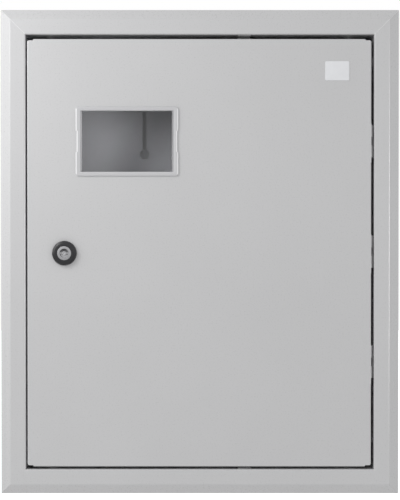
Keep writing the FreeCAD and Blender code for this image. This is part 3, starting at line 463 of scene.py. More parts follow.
finishes = {
    "powder_coat": powderCoat("lightGreyPowderCoat", (0.553, 0.553, 0.559)),
    "galvanised_steel": zincSheet("galvanisedSheet", (0.37, 0.385, 0.40), 0.48, 95.0, 0.10),
    "plate_zinc": zincSheet("zincCoatedPlatePaintedSheen", (0.54, 0.545, 0.585), 0.42, 220.0, 0.015, paintedPlateSheen),
    "screw_zinc": metalPart("brightZinc", (0.70, 0.71, 0.73), 0.28, 300.0),
    "hinge_steel": metalPart("drawnSteel", (0.33, 0.33, 0.34), 0.40, 240.0),
    "black_lock": mouldedPlastic("blackLockBody", (0.009, 0.009, 0.011), 0.36),
    "lock_metal": insertMetal("nickelPlatePaintedShade", (0.34, 0.34, 0.35), 0.36),
    "clear_plastic": clearPlastic("clearWindowPaintedLight", clear),
    "brass_bar": metalPart("plainBrass", (0.66, 0.47, 0.20), 0.30, 200.0),
    "blue_moulding": mouldedPlastic("blueMoulding", (0.02, 0.09, 0.36), 0.42),
    "green_moulding": mouldedPlastic("greenMoulding", (0.03, 0.20, 0.05), 0.42),
}

# the door stops get a darker coat than the door, a painted shade for the gap they sit in
paintedShadeStopCoat = powderCoat("greyStopCoatPaintedShade", (0.24, 0.24, 0.245))
slotOf = {part["node"]: part["material_slot"] for part in frame["record"]["subparts"]}
for nodeName, item in nodes.items():
    for place in item.material_slots:
        place.material = paintedShadeStopCoat if nodeName.startswith("door_stop") else finishes[slotOf[nodeName]]
print("scene: materials")


# Surfaces worked out on grids
sharpFrom = math.radians(32)  # edges that turn more stay sharp
mergeWithin = 0.000001        # metres


def gridFaces(rows, columns, wrapRows, wrapColumns):
    # each cell of the grid is one four-sided face
    i = np.arange(rows if wrapRows else rows - 1)
    j = np.arange(columns if wrapColumns else columns - 1)
    i, j = np.meshgrid(i, j, indexing="ij")
    nextI = (i + 1) % rows
    nextJ = (j + 1) % columns
    quads = [i * columns + j, i * columns + nextJ, nextI * columns + nextJ, nextI * columns + j]
    return np.stack(quads, -1).reshape(-1, 4)


def closedGrid(points):
    # rows that close on themselves, as round a ring
    return points, gridFaces(points.shape[0], points.shape[1], True, True).tolist()


def cappedGrid(points):
    # rows of a closed form, with the first and the last row filled by one face each
    rows, columns = points.shape[:2]
    faces = gridFaces(rows, columns, False, True).tolist()
    faces.append(list(range(columns))[::-1])
    faces.append(list(range((rows - 1) * columns, rows * columns)))
    return points, faces


def makePiece(name, sheets, material, body):
    # sheets are (points of rows x columns x 3, faces) pairs in metres, joined into one piece
    vertices = np.concatenate([points.reshape(-1, 3) for points, faces in sheets])
    loops = []
    start = 0
    for points, faces in sheets:
        loops += [[start + index for index in face] for face in faces]
        start += points.size // 3
    mesh = bpy.data.meshes.new(name)
    mesh.from_pydata(vertices.tolist(), [], loops)
    mesh.materials.append(material)
    mesh.set_sharp_from_angle(angle=sharpFrom)
    mesh.update()
    piece = bpy.data.objects.new(name, mesh)
    bpy.context.scene.collection.objects.link(piece)
    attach(piece, body)
    return piece


def mark(piece, name, values):
    # one number for each point, which the materials read
    numbers = values.ravel().astype(np.float32)
    piece.data.attributes.new(name, "FLOAT", "POINT").data.foreach_set("value", numbers)


def mergePoints(piece):
    # points that lie on one another become one, so that no face is left without an area
    work = bmesh.new()
    work.from_mesh(piece.data)
    bmesh.ops.remove_doubles(work, verts=work.verts, dist=mergeWithin)
    work.to_mesh(piece.data)
    work.free()
    piece.data.set_sharp_from_angle(angle=sharpFrom)


def boxOf(nodeName):
    # lowest and highest corner of a node at rest, in millimetres
    low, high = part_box(nodeName)
    return np.array(low) / mm, np.array(high) / mm


def middleOf(nodeName):
    # halfway across a node, in X and Z
    low, high = boxOf(nodeName)
    return (low[0] + high[0]) / 2, (low[2] + high[2]) / 2


def replaceNode(nodeName, sheets):
    # a finer piece in the place of a CAD node, on the same body and in the same finish
    body = nodes[nodeName]["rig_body"]
    slotName = slotOf[nodeName]
    words = nodeName.split("_")
    pieceName = words[0] + "".join(word.capitalize() for word in words[1:])
    piece = makePiece(pieceName, sheets, finishes[slotName], body)
    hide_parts(nodeName)
    return piece


pointingTo = {                # local X, Y and Z in the object's axes
    "up": ((1, 0, 0), (0, 1, 0), (0, 0, 1)),
    "front": ((1, 0, 0), (0, 0, 1), (0, -1, 0)),
    "back": ((-1, 0, 0), (0, 0, 1), (0, 1, 0)),
    "left": ((0, 1, 0), (0, 0, 1), (1, 0, 0)),
    "right": ((0, -1, 0), (0, 0, 1), (-1, 0, 0)),
}


def placed(sheet, place, direction):
    # turns a shape from its own axes to a direction, moves it to its place and makes it metres
    points, faces = sheet
    return (points @ np.array(pointingTo[direction], dtype=float) + np.array(place)) * mm, faces


def roundedOutline(width, height, corner, steps):
    # rectangle with round corners: a circle whose quarters stand at four inner points
    turn = (np.arange(steps) + 0.5) / steps * 2 * math.pi
    x = np.sign(np.cos(turn)) * (width / 2 - corner) + corner * np.cos(turn)
    z = np.sign(np.sin(turn)) * (height / 2 - corner) + corner * np.sin(turn)
    return x, z


# Bare domed badge at the door's upper right
badge = {
    "middleX": 150.7,
    "middleZ": 199.0,
    "width": 26.5,
    "height": 21.2,
    "corner": 1.6,
    "steps": 64,              # round the outline
    "rings": (0.97, 0.03, 14),               # from and to, as shares of the outline, and their number
    "plate": 0.5,             # thickness at the rim
    "dome": 0.45,             # how far the middle stands above the rim
    "domePower": 2.4,
    "rimRound": 0.35,
    "rimTurn": (1.5, 5),      # how far its round goes, in radians, and its rows
    "color": (0.74, 0.75, 0.77),
    "spread": 0.015,          # share by which a cloud changes the tone
    "cloud": 120.0,
    "ripple": 400.0,
    "rippleHeight": 0.000006,
    "roughness": 0.5,
    "coatRoughness": 0.06,
}


def badgePaint(name, b):
    # printed plate under a clear coat, so it stays shinier than the door
    material, tree, shader = startMaterial(name, b["color"], b["roughness"])
    shader.inputs["Coat Weight"].default_value = 1.0
    shader.inputs["Coat Roughness"].default_value = b["coatRoughness"]
    points = objectPoints(tree)
    dark, pale = (shaded(b["color"], 1 + side * b["spread"]) for side in (-1, 1))
    tinted(tree, ranged(tree, noise(tree, points, b["cloud"]), 0.0, 1.0), dark, pale, shader)
    bumped(tree, shader, (noise(tree, points, b["ripple"], 1.0), b["rippleHeight"]))
    return material


def makeBadge(b):
    # rings from the back edge up the round rim and in to the middle, over a dome whose height
    # falls with a power of the distance from the middle
    back = boxOf("door_panel")[0][1]
    x, z = roundedOutline(b["width"], b["height"], b["corner"], b["steps"])
    bend = np.linspace(0, *b["rimTurn"])
    inner = np.linspace(*b["rings"])
    rim = b["plate"] - b["rimRound"] * (1 - np.sin(bend))
    dome = b["plate"] + b["dome"] * (1 - inner ** b["domePower"])
    share = np.concatenate([[1.0], 1 - b["rimRound"] / b["width"] * (1 - np.cos(bend)), inner])
    height = np.concatenate([[0.0], rim, dome])
    points = np.empty((len(share), len(x), 3))
    points[:, :, 0] = b["middleX"] + share[:, None] * x
    points[:, :, 1] = back - height[:, None]
    points[:, :, 2] = b["middleZ"] + share[:, None] * z
    makePiece("badge", [cappedGrid(points * mm)], badgePaint("paleBadge", b), "door")


makeBadge(badge)
print("scene: badge")


# Screws, nuts, studs and pins with their threads and bevels; lengths in pitches where it says so
fastener = {
    "steps": 48,              # round the axis, a multiple of six
    "threadDepth": 0.6,       # pitches
    "rowsPerTurn": 6,
    "leastRows": 4,
    "point": (0.55, 0.8),     # radii at a screw's point, as shares of its radius
    "pointLength": 0.4,       # pitches
    "pointGap": 0.2,          # point to thread, pitches
    "neck": (0.3, 0.1),       # thread's end and plain neck under the head, pitches
    "footShare": 0.97,        # flat under a hexagon head, as a share of its reach
    "footBevel": 0.03,        # as a share of its width across
    "crownShare": 0.94,       # flat of a hexagon's top, as a share of its width
    "crownSlope": 0.5,
    "dish": 0.25,             # hollow in a screw's head
    "dishShares": (0.62, 0.52, 0.1),         # its edge, its floor and the inmost ring
    "nutMouth": 0.6,          # widening at a nut's two ends, pitches
    "nutThread": 0.5,         # thread's depth and its distance from the ends, pitches
    "baseShares": (0.7, 0.3),                # a stud's base: straight part and bevel
    "studThread": (0.5, 0.8),                # gaps at the thread's two ends, pitches
    "studTip": (0.85, 0.7),   # radii, as shares
    "studTipLength": 0.4,     # pitches
    "washerEdge": 0.18,       # as a share of its height
    "pinSteps": 32,
    "pinDome": 0.45,          # as a share of its radius
    "pinRound": (0.25, math.pi / 2, 4),      # the dome's angles, from and to, and their number
}


def ringTurns(count):
    # even angles round an axis
    return np.arange(count) / count * 2 * math.pi


roundTurns = ringTurns(fastener["steps"])


def hexagonReach(across):
    # distance from the middle to the side of a hexagon with corners at 0, 60, 120 degrees
    return across / 2 / np.cos(np.mod(roundTurns, math.pi / 3) - math.pi / 6)


def threadRows(radius, pitch, low, high, turn=roundTurns):
    # helix: the radius falls from the crest by a triangle wave of height minus angle
    count = max(fastener["leastRows"], int((high - low) / pitch * fastener["rowsPerTurn"]))
    height = np.linspace(low, high, count)[:, None]
    phase = np.mod(height / pitch - turn / (2 * math.pi), 1.0)
    depth = pitch * fastener["threadDepth"] * (1 - np.abs(2 * phase - 1))
    return radius - depth, np.broadcast_to(height, depth.shape)


def ringRows(pairs, turn=roundTurns):
    # plain rings given as (radius, height); either may vary round the axis
    radius = np.stack([np.broadcast_to(pair[0], turn.shape) for pair in pairs])
    height = np.stack([np.broadcast_to(pair[1], turn.shape) for pair in pairs])
    return radius, height


def stacked(parts, turn=roundTurns):
    # rows of (radius, height) round the axis become points, heights along local Z
    radius = np.concatenate([part[0] for part in parts])
    height = np.concatenate([part[1] for part in parts])
    return np.stack([radius * np.cos(turn), radius * np.sin(turn), height], -1)


def hexagonScrew(radius, across, headHeight, length, pitch):
    # rows from the point along the thread, under the head, over its bevel and down into its dish
    f = fastener
    side = hexagonReach(across)
    crown = across / 2 * f["crownShare"]
    bevel = headHeight - (side - crown) * f["crownSlope"]
    dishEdge, dishFloor, middle = (crown * share for share in f["dishShares"])
    floor = headHeight - f["dish"]
    tipEnd, tipStart = (radius * share for share in f["point"])
    tip = ringRows([(tipEnd, -length), (tipStart, -length + pitch * f["pointLength"])])
    threadStart = -length + pitch * (f["pointLength"] + f["pointGap"])
    thread = threadRows(radius, pitch, threadStart, -pitch * f["neck"][0])
    neck = ringRows([(radius, -pitch * f["neck"][1]), (radius, 0)])
    head = ringRows([(side * f["footShare"], 0), (side, across * f["footBevel"]), (side, bevel),
                     (crown, headHeight), (dishEdge, headHeight), (dishFloor, floor), (middle, floor)])
    return cappedGrid(stacked([tip, thread, neck, head]))


def hexagonNut(across, bore, height, pitch):
    # ring bevelled at both ends, with a few thread rows down its bore; its rows close on themselves
    side = hexagonReach(across)
    crown = across / 2 * fastener["crownShare"]
    cut = (side - crown) * fastener["crownSlope"]
    mouth = bore + pitch * fastener["nutMouth"]
    groove = pitch * fastener["nutThread"]
    outer = ringRows([(mouth, 0), (crown, 0), (side, cut), (side, height - cut), (crown, height),
                      (mouth, height)])
    return closedGrid(stacked([outer, threadRows(bore + groove, pitch, height - groove, groove)]))


def threadedStud(radius, baseRadius, baseHeight, length, pitch):
    # rows over the flat base and its bevel, along the thread and over the tapered tip
    f = fastener
    straight, bevel = (baseHeight * share for share in f["baseShares"])
    base = ringRows([(baseRadius, 0), (baseRadius, straight), (baseRadius - bevel, baseHeight),
                     (radius, baseHeight)])
    low, high = baseHeight + pitch * f["studThread"][0], length - pitch * f["studThread"][1]
    tipStart, tipEnd = (radius * share for share in f["studTip"])
    tip = ringRows([(tipStart, length - pitch * f["studTipLength"]), (tipEnd, length)])
    return cappedGrid(stacked([base, threadRows(radius, pitch, low, high), tip]))


def flatWasher(radius, bore, height):
    # eight rows round the section, a bevel at each of its four edges
    edge = height * fastener["washerEdge"]
    rows = [(bore, edge), (bore + edge, 0), (radius - edge, 0), (radius, edge), (radius, height - edge),
            (radius - edge, height), (bore + edge, height), (bore, height - edge)]
    return closedGrid(stacked([ringRows(rows)]))


def roundPin(radius, length):
    # straight pin with domed ends
    turn = ringTurns(fastener["pinSteps"])
    dome = [(radius * math.sin(a), radius * fastener["pinDome"] * (1 - math.cos(a)))
            for a in np.linspace(*fastener["pinRound"])]
    rows = dome + [(reach, length - height) for reach, height in dome[::-1]]
    return cappedGrid(stacked([ringRows(rows, turn)], turn))


screwSets = {                 # radius, across the head, head height, pitch
    "plate_screws": (2.0, 7.0, 2.6, 0.7),
    "carrier_screws": (1.8, 6.0, 2.0, 1.3),
    "rail_screws": (2.5, 8.0, 3.0, 0.8),
    "frame_screws": (2.0, 7.0, 2.6, 0.7),
}


def frontScrews(nodeName, places):
    # one screw at each place, its head towards the front
    radius, across, headHeight, pitch = screwSets[nodeName]
    low, high = boxOf(nodeName)
    seat = low[1] + headHeight
    screw = hexagonScrew(radius, across, headHeight, high[1] - seat, pitch)
    replaceNode(nodeName, [placed(screw, (x, seat, z), "front") for x, z in places])


def screwReach(nodeName):
    # half the extent of a head with its corners at the left and the right
    across = screwSets[nodeName][1]
    return across / math.sqrt(3), across / 2


def makeScrews():
    # a node's outer screws have their axes half a head inside its box
    low, high = boxOf("plate_screws")
    halfX, halfZ = screwReach("plate_screws")
    frontScrews("plate_screws", [(x, z) for x in (low[0] + halfX, high[0] - halfX)
                                 for z in (low[2] + halfZ, high[2] - halfZ)])
    low, high = boxOf("carrier_screws")
    halfX, halfZ = screwReach("carrier_screws")
    barLow, barHigh = boxOf("earth_bar")
    outer = high[0] - halfX
    inner = barLow[0] + barHigh[0] - outer
    frontScrews("carrier_screws", [(side * x, low[2] + halfZ) for side in (-1, 1) for x in (inner, outer)])
    low, high = boxOf("rail_screws")
    halfX, halfZ = screwReach("rail_screws")
    frontScrews("rail_screws", [(side * (high[0] - halfX), low[2] + halfZ) for side in (-1, 1)])

    # the frame's screws point outwards from the two tall lips, their heads inside the opening
    radius, across, headHeight, pitch = screwSets["frame_screws"]
    low, high = boxOf("frame_screws")
    seat = boxOf("frame_right")[0][0]
    screw = hexagonScrew(radius, across, headHeight, high[0] - seat, pitch)
    middleY = (low[1] + high[1]) / 2
    heights = [side * (high[2] - screwReach("frame_screws")[0]) for side in (-1, 1)]
    replaceNode("frame_screws", [placed(screw, (side * seat, middleY, z), direction)
                                 for side, direction in ((1, "left"), (-1, "right")) for z in heights])


nuts = {                      # radii and pitches
    "stud": 3.0,
    "studPitch": 1.0,
    "studBase": 0.8,          # height
    "washerBore": 3.2,
    "threadFit": 0.04,        # play between a nut and its thread
    "lockThread": 10.9,
    "lockPitch": 1.5,
    "camScrew": 2.5,
    "camScrewPitch": 0.8,
}


def makeNuts(c):
    # earth studs: one on the box's back, one behind the door's face, then the lock's nut and cam screw
    for name, direction in (("box_earth", "front"), ("door_earth", "back")):
        x, z = middleOf(name + "_stud")
        for part in ("stud", "washer", "nut"):
            low, high = boxOf(name + "_" + part)
            radius = (high[0] - low[0]) / 2
            height = high[1] - low[1]
            across = high[2] - low[2]
            if part == "stud":
                sheet = threadedStud(c["stud"], radius, c["studBase"], height, c["studPitch"])
            elif part == "washer":
                sheet = flatWasher(radius, c["washerBore"], height)
            else:
                sheet = hexagonNut(across, c["stud"] + c["threadFit"], height, c["studPitch"])
            foot = high[1] if direction == "front" else low[1]
            replaceNode(name + "_" + part, [placed(sheet, (x, foot, z), direction)])
    low, high = boxOf("lock_nut")
    x, z = middleOf("lock_nut")
    nut = hexagonNut(high[2] - low[2], c["lockThread"] + c["threadFit"], high[1] - low[1], c["lockPitch"])
    replaceNode("lock_nut", [placed(nut, (x, low[1], z), "back")])
    low, high = boxOf("lock_cam_screw")
    seat = boxOf("lock_cam")[1][1]
    screw = hexagonScrew(c["camScrew"], high[2] - low[2], high[1] - seat, seat - low[1], c["camScrewPitch"])
    replaceNode("lock_cam_screw", [placed(screw, (x, seat, z), "back")])


def makePins():
    # each pin fills its node's box
    for place in ("top", "middle", "bottom"):
        low, high = boxOf("hinge_pin_" + place)
        middle = ((low[0] + high[0]) / 2, (low[1] + high[1]) / 2, low[2])
        pin = roundPin((high[0] - low[0]) / 2, high[2] - low[2])
        replaceNode("hinge_pin_" + place, [placed(pin, middle, "up")])


makeScrews()
makeNuts(nuts)
makePins()
print("scene: screws, nuts and pins")


# Lock: moulded ring with a threaded, flatted barrel
lock = {
    "steps": 120,             # round the axis
    "roundRows": 3,           # between a round's two ends
    "rearBevel": 0.3,         # at the ring's seat on the door
    "rimHeight": 1.8,
    "edgeRound": 0.5,         # round of the ring's outer edge
    "shoulder": (12.8, 3.9),  # radius and height of the two slopes' meeting
    "crown": 11.0,
    "crownRound": (0.42, 0.245),             # inwards and down
    "mouthBevel": 0.5,
    "insertFit": 0.06,        # play round the insert
    "insertShaft": 6.0,
    "insertHead": 4.6,        # height of the insert's wide part
    "thread": 10.9,
    "threadPitch": 1.5,
    "threadEnds": (0.6, 5.4), # its distance from the barrel's rear end and from the door's face
    "rearTaper": 0.9,
    "neck": (0.4, 0.05),      # the plain neck's distance from the thread and from the door's face
    "flat": 10.0,             # middle to the barrel's two flats
}


def makeLockHousing(c):
    # rows go round the section: over the ring, down the bore and back along the barrel's outside,
    # where flats cut the radius; heights count from the door's face to the front
    low, high = boxOf("lock_housing")
    insertLow, insertHigh = boxOf("lock_insert")
    x, z = middleOf("lock_insert")
    face = boxOf("door_panel")[0][1]
    reach = (high[0] - low[0]) / 2
    top = face - low[1]
    rear = face - high[1]
    step = face - insertLow[1] - c["insertHead"]
    bore = (insertHigh[0] - insertLow[0]) / 2 + c["insertFit"]
    narrow = c["insertShaft"] + c["insertFit"]
    turn = ringTurns(c["steps"])
    bend = np.linspace(0, math.pi / 2, c["roundRows"] + 2)[1:-1]
    rim, edge = c["rimHeight"], c["edgeRound"]
    inward, down = c["crownRound"]
    rows = [(c["thread"], 0), (reach - c["rearBevel"], 0), (reach, c["rearBevel"]), (reach, rim - edge)]
    rows += [(reach - edge * (1 - math.cos(a)), rim - edge * (1 - math.sin(a))) for a in bend]
    rows += [c["shoulder"]]
    rows += [(c["crown"] - inward * (1 - math.cos(a)), top - down * (1 - math.sin(a))) for a in bend]
    rows += [(bore + c["mouthBevel"], top), (bore, top - c["mouthBevel"]), (bore, step), (narrow, step),
             (narrow, rear)]
    threadLow, threadHigh = rear + c["threadEnds"][0], -c["threadEnds"][1]
    barrel = [ringRows([(c["thread"] - c["rearTaper"], rear)], turn),
              threadRows(c["thread"], c["threadPitch"], threadLow, threadHigh, turn),
              ringRows([(c["thread"], threadHigh + c["neck"][0]), (c["thread"], -c["neck"][1])], turn)]
    flatReach = c["flat"] / np.maximum(np.abs(np.sin(turn)), 0.01)     # never divided by nought
    barrel = [(np.minimum(radius, flatReach), height) for radius, height in barrel]
    sheet = closedGrid(stacked([ringRows(rows, turn)] + barrel, turn))
    replaceNode("lock_housing", [placed(sheet, (x, face, z), "front")])


# Double-bit insert: a head with the key recess, a shaft, and a square end with a tapped hole
insert = {
    "steps": 96,
    "bevel": (0.3, 0.09),     # at the face's edge, and at its middle
    "head": 4.6,
    "shaft": 6.0,             # radius
    "square": 4.0,            # middle to side
    "squareReach": 1.36,      # its corners are cut off at so many times that
    "squareLength": 2.45,
    "squareBevel": 0.3,
    "tapped": (2.54, 9.2),    # radius and depth of the hole's straight part
    "tappedBevel": 0.4,
    "holeTip": 0.6,           # radius at the hole's bottom, as a share
    "recess": 4.8,
    "recessDepth": 3.4,
    "recessEdge": 0.25,
    "dullFrom": 0.5,          # depth from which the recess is dull and painted darker
    "core": 2.2,
    "coreBevel": 0.2,
    "coreDish": 0.6,
    "dishShares": (0.45, 0.3, 0.1),          # its edge, its floor and the inmost ring
    "wing": 2.8,              # width of the two wings that a key straddles
    "wingSink": 0.7,
    "wingCorner": 0.3,
    "wingSteps": 24,
    "wingBevel": 0.2,
    "overlap": 0.2,           # of a wing with the wall, the core and the floor
    "deep": (0.3, 0.5, 0.0),  # marks of painted shade and dullness: the face, the wings and the core's end, 0 the palest
}


def makeLockInsert(c):
    # rows from the tapped hole's bottom out over the square end, up the shaft and the head, and in
    # over the face, the recess and the core; heights count from the insert's face
    low, high = boxOf("lock_insert")
    face = low[1]
    x, z = middleOf("lock_insert")
    reach = (high[0] - low[0]) / 2
    rear = face - high[1]
    turn = ringTurns(c["steps"])
    square = c["square"] / np.maximum(np.abs(np.cos(turn)), np.abs(np.sin(turn)))
    square = np.minimum(square, c["square"] * c["squareReach"])
    tapped, tappedEnd = c["tapped"][0], rear + c["tapped"][1]
    cut = c["tappedBevel"]
    bevel, bevelMiddle = c["bevel"]
    recess, core, floor = c["recess"], c["core"], -c["recessDepth"]
    dishEdge, dishFloor, middle = (core * share for share in c["dishShares"])
    rows = [(tapped * c["holeTip"], tappedEnd + cut), (tapped, tappedEnd), (tapped, rear + cut),
            (tapped + cut, rear), (square - c["squareBevel"], rear), (square, rear + c["squareBevel"]),
            (square, rear + c["squareLength"]), (c["shaft"], rear + c["squareLength"]),
            (c["shaft"], -c["head"]), (reach, -c["head"]), (reach, -bevel),
            (reach - bevelMiddle, -bevelMiddle), (reach - bevel, 0),
            (recess + c["recessEdge"], 0), (recess, -c["recessEdge"])]
    dullStart = len(rows)
    rows += [(recess, -c["dullFrom"]), (recess, floor), (core, floor), (core, -c["dullFrom"])]
    dullEnd = len(rows)
    rows += [(core, -c["coreBevel"]), (core - c["coreBevel"], 0), (dishEdge, 0),
             (dishFloor, -c["coreDish"]), (middle, -c["coreDish"])]
    points = stacked([ringRows(rows, turn)], turn)
    sheets = [placed(cappedGrid(points), (x, face, z), "front")]

    # painted shade: the recess is darkest and dullest at its top, where the least light comes in, and palest
    # at its bottom
    facePaintedShade, wingPaintedShade, corePaintedShade = c["deep"]
    deep = np.full(points.shape[:2], facePaintedShade)
    deep[dullStart:dullEnd] = 0.5 + 0.5 * np.sin(turn)
    deep[dullEnd:] = corePaintedShade
    marks = [deep.ravel()]
    length = recess - core + 2 * c["overlap"]
    levels = np.array([floor - c["overlap"], -c["wingSink"] - c["wingBevel"], -c["wingSink"]])
    widths = c["wing"] - 2 * np.array([0, 0, c["wingBevel"]])
    rings = [roundedOutline(length, width, c["wingCorner"], c["wingSteps"]) for width in widths]
    for side in (-1, 1):
        wing = np.empty((len(levels), c["wingSteps"], 3))
        wing[:, :, :2] = np.array(rings).transpose(0, 2, 1)
        wing[:, :, 0] += side * (core + recess) / 2
        wing[:, :, 2] = levels[:, None]
        sheets.append(placed(cappedGrid(wing), (x, face, z), "front"))
        marks.append(np.full(wing[:, :, 0].size, wingPaintedShade))
    piece = replaceNode("lock_insert", sheets)
    mark(piece, "deep", np.concatenate(marks))


makeLockHousing(lock)
makeLockInsert(insert)
print("scene: lock")


# Window: a rim with rounded edges and notches, a collar with snap hooks, and the pane between ribs
window = {
    "corner": 3.3,
    "cornerSteps": 7,
    "leastCorner": 0.8,
    "straight": 0.8,          # first row of the sides, as a share of the half height
    "edgeRound": (1.5, 0.8),  # across and down
    "edgeSteps": 6,
    "flange": 1.6,
    "lap": 3.85,              # outline to the collar
    "wall": (1.7, 0.5, 0.95),                # at the sides, above and below
    "sink": 0.9,              # pane's front behind the flange's
    "pane": 2.0,
    "depth": 8.0,             # collar's rear end behind the door's face
    "flat": 0.3,              # from the edge's round to the flat front
    "mouth": (0.35, 0.1),     # round where the front falls to the pane, and its middle
    "rib": 2.0,
    "ribSink": 0.4,
    "ribBevel": (0.3, 0.25),
    "spacing": 0.05,          # between the rows above and below, where the rib runs out
    "notch": (1.1, 11.6),     # depth and half length
    "hook": (1.35, 10.0),     # rise from the collar and half length
    "hookFrom": 1.15,         # behind the door's face
    "hookStep": 0.02,
    "hookTo": 3.75,
    "slit": 11.2,             # far side of the slits beside the hooks
    "rimMarks": (0.9, 0.8, 0.7, 0.45, 0.3, 0.1),    # from the front in to the pane
}


def windowColumns(c, halfHeight):
    # round the window from the right side, through the four corners, with breaks at notch, slits and
    # hook; each column has the corner's side in X and Z, an angle, a height and three flags
    notch, slit, hook = c["notch"][1], c["slit"], c["hook"][1]
    along = np.array([-halfHeight * c["straight"], -notch, -notch, -slit, -slit, -hook, -hook, -hook / 2, 0])
    inNotch = np.array([0, 0, 1, 1, 1, 1, 1, 1, 1])
    inSlit = np.array([0, 0, 0, 0, 1, 1, 0, 0, 0])
    inHook = np.array([0, 0, 0, 0, 0, 0, 1, 1, 1])
    along = np.concatenate([along, -along[:-1][::-1]])
    flags = np.stack([np.concatenate([part, part[:-1][::-1]]) for part in (inNotch, inSlit, inHook)])
    count, steps = len(along), c["cornerSteps"]
    quarter = np.linspace(0, math.pi / 2, steps)
    columns = []
    for sideX, first in ((1, 0.0), (-1, math.pi)):
        columns.append(np.stack([np.full(count, sideX), np.zeros(count), np.full(count, first),
                                 along * sideX, *flags]))
        for start in (first, first + math.pi / 2):
            middle = start + math.pi / 4
            columns.append(np.stack([np.full(steps, np.sign(np.cos(middle))),
                                     np.full(steps, np.sign(np.sin(middle))),
                                     start + quarter, *np.zeros((4, steps))]))
    return np.concatenate(columns, 1)


def makeWindow(c):
    # a profile of insets and heights, carried round an outline of straight sides and round corners
    low, high = boxOf("window_pane")
    face = boxOf("door_panel")[0][1]
    halfX, halfZ = (high[0] - low[0]) / 2, (high[2] - low[2]) / 2
    cornerX, cornerZ, angle, along, inNotch, inSlit, inHook = windowColumns(c, halfZ)
    side = np.abs(np.cos(angle)) ** 4               # 1 at the left and right, 0 above and below
    lap, front = c["lap"], c["flange"]
    innerX = lap + c["wall"][0]
    innerZ = lap + np.where(cornerZ > 0, c["wall"][1], c["wall"][2])
    paneFront = front - c["sink"]
    paneRear = paneFront - c["pane"]
    collarRear = -c["depth"] + inSlit * (c["depth"] + paneRear)
    ribFront = paneFront + side * (front - c["ribSink"] - paneFront)
    ribX, ribBevel = innerX + c["rib"], c["ribBevel"]
    across, down = c["edgeRound"]
    cut = inNotch * c["notch"][0]
    barb = lap - inHook * c["hook"][0]
    mouth, mouthMiddle = c["mouth"]
    gap = c["spacing"]
    marks = c["rimMarks"]
    rows = [                  # inset at the sides, inset above and below, height, rim mark; back to front
        (innerX, innerZ, paneRear, 0),
        (innerX, innerZ, collarRear, marks[-1] * (1 - inSlit)),
        (lap, lap, collarRear, 1),
        (lap, lap, np.maximum(collarRear, -c["hookTo"]), 1),
        (barb, lap, -c["hookFrom"], 1),
        (lap, lap, -c["hookFrom"] + c["hookStep"], 1),
        (lap, lap, 0.0, 1),
        (cut, 0, 0.0, 1)]
    # over the edge's round the mark rises towards 2 at the left and right, a painted highlight
    for a in np.linspace(0, math.pi / 2, c["edgeSteps"]):
        inset = across * (1 - math.cos(a))
        rows.append((cut + inset, inset, front - down * (1 - math.sin(a)), 1 + side * math.sin(a) ** 3))
    rows += [
        (cut + across + c["flat"], across + c["flat"], front, 1),
        (innerX - mouth, innerZ - mouth, front, 1),
        (innerX - mouthMiddle, innerZ - mouthMiddle, front - mouthMiddle, marks[0]),
        (innerX, innerZ, front - mouth, marks[1]),
        (innerX, innerZ, ribFront, marks[2]),
        (ribX - ribBevel[0], innerZ + gap, ribFront, marks[3]),
        (ribX, innerZ + 2 * gap, ribFront - ribBevel[1] * side, marks[4]),
        (ribX, innerZ + 3 * gap, paneFront, marks[5]),
        (ribX + gap, innerZ + 4 * gap, paneFront, 0)]
    insetX, insetZ, height, rim = (np.stack([np.broadcast_to(row[k], angle.shape) for row in rows])
                                   for k in range(4))
    corner = np.maximum(c["corner"] - np.minimum(insetX - cut, insetZ), c["leastCorner"])
    x = cornerX * (halfX - insetX - corner) + corner * np.cos(angle)
    z = cornerZ * (halfZ - insetZ - corner) + along + corner * np.sin(angle)
    points = np.stack([x, z, height], -1)
    middle = ((low[0] + high[0]) / 2, face, (low[2] + high[2]) / 2)
    piece = replaceNode("window_pane", [placed(cappedGrid(points), middle, "front")])
    mark(piece, "rim", rim)
    mergePoints(piece)


makeWindow(window)
print("scene: window")


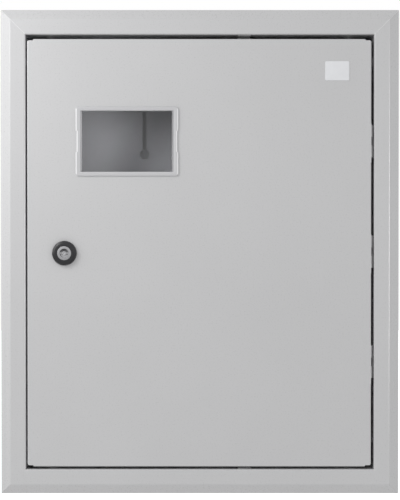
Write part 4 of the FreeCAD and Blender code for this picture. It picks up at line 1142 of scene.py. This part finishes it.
# Weld beads that close the frame's mitred corners, painted over, so that only a faint line is left; the
# upper pair pale, a painted highlight
weld = {
    "faceFlat": 17.1,         # width of the frame's flat face
    "bend": 1.9,              # outer radius of the frame's bends
    "lipTurn": 60,            # degrees that a bead follows the lip's bend
    "bendRows": (6, 7),       # in the lip's bend and the flank's
    "halfWidth": 0.35,
    "depth": 0.9,
    "section": ((-1, -0.4, 0, 0.4, 1, 1, 0, -1), (0, 0, 0, 0, 0, 1, 1.2, 1)),    # shares of both
    "sink": 0.015,            # behind the frame's surface
    "rise": 12.0,             # how far the frame stands out of the wall
    "edgeGap": 0.3,           # left free at the wall
    # much paler than the coat: a painted highlight where the upper seams catch the light
    "upperPaintedHighlight": (0.86, 0.86, 0.865),
    "lowerColor": (0.57, 0.57, 0.576),
}


def framePath(c, run):
    # section of the frame's outside, from the opening's edge over the flat face and down the flank:
    # two bends, each an arc that its straight neighbours touch
    slope = math.atan2(c["rise"], run)
    reach = c["bend"] * math.tan(slope / 2)
    lip = np.linspace(math.radians(c["lipTurn"]), 0, c["bendRows"][0])
    arc = np.linspace(0, slope, c["bendRows"][1])
    across = [c["bend"] * (1 - np.sin(lip)), c["faceFlat"] - reach + c["bend"] * np.sin(arc),
              [c["faceFlat"] + run]]
    back = [c["bend"] * (1 - np.cos(lip)), c["bend"] * (1 - np.cos(arc)), [c["rise"]]]
    return np.concatenate(across), np.concatenate(back)


def weldBead(c, sideX, sideZ, path, start):
    # rows run out along the mitre; each follows the surface on both sides of it, where the distance
    # from the opening grows with the offset over root two, and closes behind
    across, back = path
    offset = np.array(c["section"][0]) * c["halfWidth"]
    behind = np.array(c["section"][1]) * c["depth"] + c["sink"]
    along = np.append(across[:-1], across[-1] - c["edgeGap"])[:, None]
    depth = np.interp(along + np.abs(offset) / math.sqrt(2), across, back) + behind
    x = sideX * (start[0] + along) + offset * sideZ / math.sqrt(2)
    z = sideZ * (start[1] + along) - offset * sideX / math.sqrt(2)
    return cappedGrid(np.stack([x, start[2] + depth, z], -1) * mm)


def makeWelds(c):
    # two beads above and two below, a shade of the coat for each pair: the upper pair much paler, a painted
    # highlight on the seams
    low, high = boxOf("frame_left")
    opening = boxOf("frame_right")[0][0]
    start = (opening, high[2] - (high[0] - low[0]), low[1])
    path = framePath(c, high[0] - low[0] - c["faceFlat"])
    for name, sideZ, color in (("upperWeldsPaintedHighlight", 1, c["upperPaintedHighlight"]), ("lowerWelds", -1, c["lowerColor"])):
        beads = [weldBead(c, sideX, sideZ, path, start) for sideX in (-1, 1)]
        makePiece(name, beads, powderCoat(name + "Coat", color), "cabinet")


makeWelds(weld)
print("scene: welds")


bpy.context.scene.view_settings.view_transform = "Standard"
